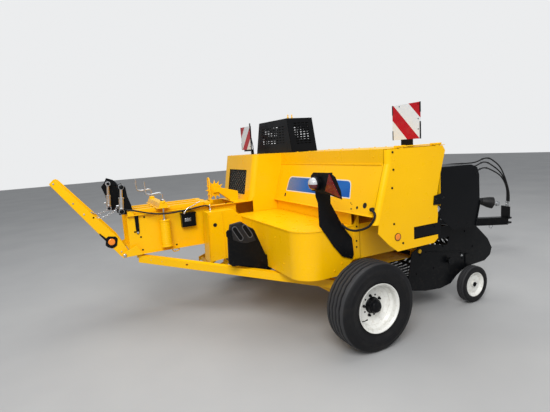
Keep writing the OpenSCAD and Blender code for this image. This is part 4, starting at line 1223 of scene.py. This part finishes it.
# %% Counter with its lever
LEVER = [(-1085, 1636, 1096), (-1070, 1636, 1118), (-1038, 1638, 1146), (-980, 1640, 1168), (-937, 1644, 1188),
         (-905, 1650, 1196)]
piece("bale counter", [
    block((-1113, 1640, 948), (-965, 1700, 1086)), block((-1119, 1635, 1082), (-959, 1700, 1096)),
    block((-1100, 1634, 962), (-978, 1641, 1060)), rod(9, 36, (-1085, 1652, 1104), LEFT_WAY, 20)]
      + heads(dome, [(x, 1640, z) for x in (-1107, -971) for z in (955, 1070)], END, 4), BLACK, instead="counter")
piece("counter window", [block((-1085, 1633, 1008), (-1018, 1636, 1042))], BRIGHT)
piece("counter lever", [bent(LEVER, 11, 12, soft=6),
                        turned([(9, -6), (13, 0), (13, 12), (9, 16)], LEVER[0], (0.4, 0, 1), 20)], BRIGHT)

# %% [markdown]
# ## Chute chains
# Two chains hold the chute at its angle. An array along a curve could make them, but then the links
# would shear on a bend. Here each link is a ring of its own between two spots of the hanging line,
# turned a quarter against the last one. A chain crosses the chute's hinge; it is handed both bodies
# and its two ends, but it stays fixed in place and rides on neither.

# %% Chains
def chain(name, start, end, sag, links, body):
    """A chain of long round links between two places, hanging by its sag."""
    spots = [start + (end - start) * t - Vector((0, 0, 4 * sag * t * (1 - t)))
             for t in (i / links for i in range(links + 1))]
    solids, wide = [], 7.5
    for i, (a, b) in enumerate(zip(spots, spots[1:])):
        way = (b - a).normalized()
        side = way.cross(Vector(LEFT_WAY)).normalized() if i % 2 else Vector(LEFT_WAY)
        straight = (b - a).length * 0.62 - wide
        turns = [math.tau * (k + 0.5) / 14 for k in range(14)]
        solids.append(bent([(a + b) / 2 + way * (math.copysign(straight, math.cos(t)) + wide * math.cos(t))
                            + side * wide * math.sin(t) for t in turns], 5, 6, True))
    piece(name, solids, STEEL, body, 60)


for label, y, high in (("right", 1714, Vector((-1700, 1714, 1250))), ("left", 2158, Vector((-1742, 2156, 1204)))):
    low = on_chute(470, 40, y)
    chain("chute chain " + label, low, high, 40, 13, ("frame", "chute", at(*high), at(*low)))
    piece("chain bolt " + label, [turned([(9, -16), (9, -10), (4.5, -10), (4.5, 12), (8, 12), (8, 18)], low,
                                         LEFT_WAY, 16)], STEEL, "chute")

# %% [markdown]
# ## Pickup
# The reel's tines lift the hay between narrow steel bands, the strippers, which are bent round the
# reel from above to below it. The bands are thin and many, so a loop bends one strip and repeats
# it between the rows of tines. This is the part that takes the most skill: band, gap and tine have
# to keep one pitch over the whole width. The side sheets get their pressed fold and their bolts.

# %% Stripper bands, side fold and bolts
# The reel's steel is darkened nearly black as painted shade of the gap it sits in behind the tyre.
NODES["reel"].data.materials[0] = bare_steel("steel_darkened_as_painted_shade", (0.045, 0.042, 0.040), 0.6, 0.6)
REEL = Vector((1190, 0, 480))
SIDE_Y, WIDE, ROWS = 228, 1400, 18
PITCH = (WIDE - 100) / ROWS
BAND_RADIUS, HALF_GAP, THICK = 212, 11, 3
bow = [around(REEL, BAND_RADIUS, math.radians(100 - 10 * k)) for k in range(20)]
band_way = [(900, 664), *((p.x, p.z) for p in bow), (1060, 264), (900, 282)]
bands = []
for i in range(ROWS):
    near, far = SIDE_Y + 50 + i * PITCH + HALF_GAP, SIDE_Y + 50 + (i + 1) * PITCH - HALF_GAP
    rings = []
    for x, z in band_way:
        out = (Vector((x, 0, z)) - REEL).normalized() * THICK
        rings.append([Vector((x, near, z)), Vector((x, far, z)),
                      Vector((x, far - THICK, z)) + out, Vector((x, near + THICK, z)) + out])
    bands.append(rings_joined(rings))
piece("stripper bands", bands, BLACK, "pickup", 30)

# %% [markdown]
# ## Pan, side fold and bolts of the pickup
# Below the bands a bent pan closes the pickup and two tubes tie its sides together. The side
# sheet is stiffened by a pressed fold, which is a thin plate standing off it. The bolts sit where
# the photograph shows them.

# %% Pickup pan, side fold and bolts
PAN = [(792, 292), (878, 231), (1084, 212), (1084, 216), (880, 235), (795, 296)]
piece("pickup pan and tubes", [side_plate(PAN, 234, 1622), rod(15, 1388, (884, 234, 668), LEFT_WAY),
                               rod(11, 1388, (906, 234, 290), LEFT_WAY, 20)], BLACK, "pickup")
piece("pickup side fold", [side_plate([(882, 612), (1363, 537), (1366, 545), (884, 621)], 222, 228.5),
                           side_plate([(1366, 537), (1560, 470), (1562, 478), (1368, 546)], 223, 228.5)],
      BLACK, "pickup")
piece("pickup bolts", heads(bolt, on_side(SIDE_Y, (1122, 637), (1237, 790), (1290, 800), (1399, 462), (808, 600),
                                          (1384, 520), (994, 435), (1560, 560), (760, 420), (1440, 740)), END, 9)
      + [turned([(40, -20), (40, -16), (34, -12), (34, 0)], (1190, 203, 480), LEFT_WAY)]
      + heads(bolt, [around((1190, 204, 480), 30, a) for a in (0.5, 2.6, 4.7)], END, 5)
      + [turned([(30, -0.5), (30, 8), (22, 12), (22, 16), (1, 16)], (1190, 1634, 480), LEFT_WAY)], BLACK, "pickup")
piece("pickup bright bolt", bolt((1392, SIDE_Y, 492), END, 10), BRIGHT, "pickup")
piece("wind guard collars", [collar([(13.2, -8), (20, -8), (20, 8), (13.2, 8)], (1300, y, 795), LEFT_WAY)
                             for y in (246, 1610)], STEEL, "windguard")

# %% [markdown]
# ## Driveshaft
# The shaft between tractor and baler turns inside a plastic guard: a ribbed tube in two halves that
# slide, with a cone at either end over its universal joint. The end yoke has the splined bore
# that goes on the tractor's stub. Distances in a profile count from the guard's rear end, and
# `from_end` takes those that count from the shaft's front end.

# %% Driveshaft guard and end yoke
JOINT = Vector((2270, 1936, 960))
START, FINISH = Vector((2305, 1921, 955)), Vector((3380, 1240, 700))
WAY = (FINISH - START).normalized()
SHAFT = (FINISH - START).length
HALF = SHAFT / 2
CROSS = START + WAY * (SHAFT - 25)


def from_end(*profile):
    """A profile given by its distances from the shaft's front end."""
    return [(radius, SHAFT + distance) for radius, distance in profile]


REAR_CONE = [(41, 150), (58, 96), (70, 58), (78, 44), (80, 44), (72, 64), (60, 102), (43, 160)]
FRONT_CONE = from_end((48, -190), (60, -150), (76, -90), (82, -40), (85, -40), (79, -92), (63, -154), (51, -196))
guard = [turned([(40, 70), (40, HALF), (47, HALF + 4), (47, SHAFT - 120)], START, WAY, 40),
         collar(REAR_CONE, START, WAY, 48), collar(FRONT_CONE, START, WAY, 48),
         rod(30, 72, JOINT + WAY * 34, WAY, 32)]
for r, first, count in ((39.5, 180, 10), (46.5, HALF + 40, 9)):
    guard += [collar([(r, d - 3), (r + 3, d - 2), (r + 3, d + 2), (r, d + 3)], START, WAY, 40)
              for d in (first + 44 * k for k in range(count))]
piece("driveshaft guard", guard, PLASTIC, "drive_shaft", instead="drive_shaft")

# %% [markdown]
# ## Universal joint and flywheel
# At the tractor's end a bored yoke stands out of its cone, with the cross of the universal joint
# behind it: four short stubs at right angles round one centre. The flywheel gets the bolts that
# carry the joint, and a thin rim.

# %% Driveshaft yokes and flywheel bolts
yokes = [turned(from_end((30, -130), (30, -44), (25, -40)), START, WAY),
         collar(from_end((17.5, -10), (31, -10), (31, 52), (27, 58), (17.5, 58)), START, WAY, 32),
         collar(from_end((38, 16), (38, 34), (31, 36), (31, 14)), START, WAY, 32)]
for sign in (1, -1):
    for side in (Vector(UP), WAY.cross(Vector(UP)).normalized()):
        yokes += [turned([(11, -4), (11, 10), (9, 12)], CROSS + side * 26 * sign, side * sign, 20)]
yokes += [turned([(26, -14), (30, -10), (30, 10), (26, 14)], CROSS, WAY, 24),
          turned([(30, -60), (30, 60)], JOINT, UP), turned([(20, -30), (20, 30)], JOINT + WAY * 20, WAY, 24)]
piece("driveshaft yokes", yokes, STEEL, "drive_shaft")
piece("flywheel bolts", heads(bolt, [(2140, 1936 + 41 * math.cos(a), 960 + 41 * math.sin(a))
                                     for a in (k * math.pi / 3 for k in range(6))], FRONT, 8)
      + [collar([(255, 10), (264, 12), (264, 16), (255, 18)], (2095, 1936, 960), FRONT, 64)], STEEL, "flywheel")

# %% [markdown]
# ## Chock holder
# Two rubber wheel chocks stand in a black holder on the feeder's rear wall. The holder is one
# folded sheet with a slanted front edge, and the chocks show their grip slots above it. Its side is
# a plate cut to an outline, since that edge is what the eye knows it by.

# %% Chock holder and chocks
HOLDER = [(-897, 940), (-897, 984), (-880, 1000), (-640, 975), (-617, 960), (-540, 760), (-500, 655), (-500, 536),
          (-540, 545), (-580, 575), (-620, 600), (-700, 625), (-770, 645), (-860, 652), (-894, 682), (-884, 926)]
WEDGE = [(-870, 935), (-842, 1040), (-736, 1054), (-668, 1000), (-625, 975), (-560, 770), (-540, 700), (-790, 740),
         (-862, 800)]
GRIP = [(-846, 1012), (-738, 1024), (-690, 984), (-650, 962), (-610, 860), (-700, 850), (-760, 862), (-836, 900)]
SLOT_ENDS = ((-815, 1000, -760, 905), (-715, 1005, -665, 920))
HALF_TURN = [math.pi * k / 8 for k in range(9)]


def slot_ring(x0, z0, x1, z1, radius, y):
    """The outline of a long slot between two places: a half circle round either."""
    turn = math.atan2(z1 - z0, x1 - x0)
    return [around((x, y, z), radius, turn + start + t)
            for x, z, start in ((x1, z1, -math.pi / 2), (x0, z0, math.pi / 2)) for t in HALF_TURN]


piece("chock holder", [side_plate(HOLDER, 896, 902), block((-870, 902, 690), (-500, 1050, 698)),
                       block((-508, 902, 560), (-500, 1050, 690)),
                       side_plate([(-894, 682), (-880, 682), (-870, 926), (-884, 926)], 902, 916)]
      + heads(bolt, on_side(896, (-870, 720), (-520, 570), (-560, 650), (-862, 930), (-850, 690)), END, 8),
      BLACK, instead="chock_holder")

# %% [markdown]
# ## The two chocks
# A chock is a wedge of rubber with two long slots for the hand. A thin rounded lip in a lighter
# grey, a painted highlight, goes round a black inlay that is painted shade inside the slot, both from
# the same ring of points.

# %% Chocks, lips and slots
CHOCK = moulded("chock_rubber", (0.010, 0.010, 0.012), 0.5)
LIP_RUBBER_PAINTED_HIGHLIGHT = moulded("rubber_lip_painted_highlight", (0.085, 0.085, 0.09), 0.5)
piece("wheel chocks", [side_plate(WEDGE, 903, 924), side_plate(WEDGE, 927, 948), side_plate(GRIP, 892, 896)], CHOCK)
# The grey of the lips is a painted highlight on their rounded edges.
piece("chock lips", [bent(slot_ring(*ends, 22, 893), 9, 8, True) for ends in SLOT_ENDS], LIP_RUBBER_PAINTED_HIGHLIGHT)
# Each slot is a black inlay on solid rubber: painted shade where the hand hole would be dark.
piece("chock slots", [rings_joined([slot_ring(*ends, 18, y) for y in (890.8, 892.5)]) for ends in SLOT_ENDS],
      BLACK)

# %% [markdown]
# ## Brace and side cover
# The long beam under the feeder is bolted up at the chamber's rear corner. It runs at a slant, so
# a function gives the places on its side. The panel beside the feeder has one round hole with a
# rubber plug, and a hinge strip along its rear edge. Its flange is one bent outline drawn through.

# %% Bolts and plug
def on_brace(x):
    """A place on the right face of the brace beam."""
    return x, 1694.5 - (x + 1560) * 1381 / 1485, 680 - (x + 1560) * 208 / 1485


piece("brace bolts", heads(bolt, [on_brace(-1470), on_brace(-1380)], END, 9)
      + heads(bolt, [(-1555, 1710, z) for z in (712, 745)], END, 9) + bolt(on_brace(-700), END, 8), STEEL)
PANEL = [(-895, 560), (-500, 585), (-500, 1002), (-590, 1090), (-880, 1090)]
FLANGE = [(-895, 560), (-891, 560), (-876, 1086), (-590, 1086), (-590, 1090), (-880, 1090)]
HINGE_STRIP = [(-899, 560), (-895, 560), (-880, 1090), (-884, 1090)]
piece("side panel", [side_plate(PANEL, 1496, 1500), side_plate(FLANGE, 1500, 1661),
                     side_plate(HINGE_STRIP, 1476, 1500), block((-720, 1490, 590), (-712, 1497, 1088))],
      YELLOW, instead="side_cover")
piece("side panel plug", [turned([(21, -0.5), (21, 2), (16, 3), (14, 1), (1, 0.8)], (-805, 1496, 950), END)],
      PLASTIC)
piece("side panel bolts", heads(bolt, on_side(1496, (-860, 620), (-860, 1060), (-560, 620), (-560, 1030)), END, 7),
      YELLOW)
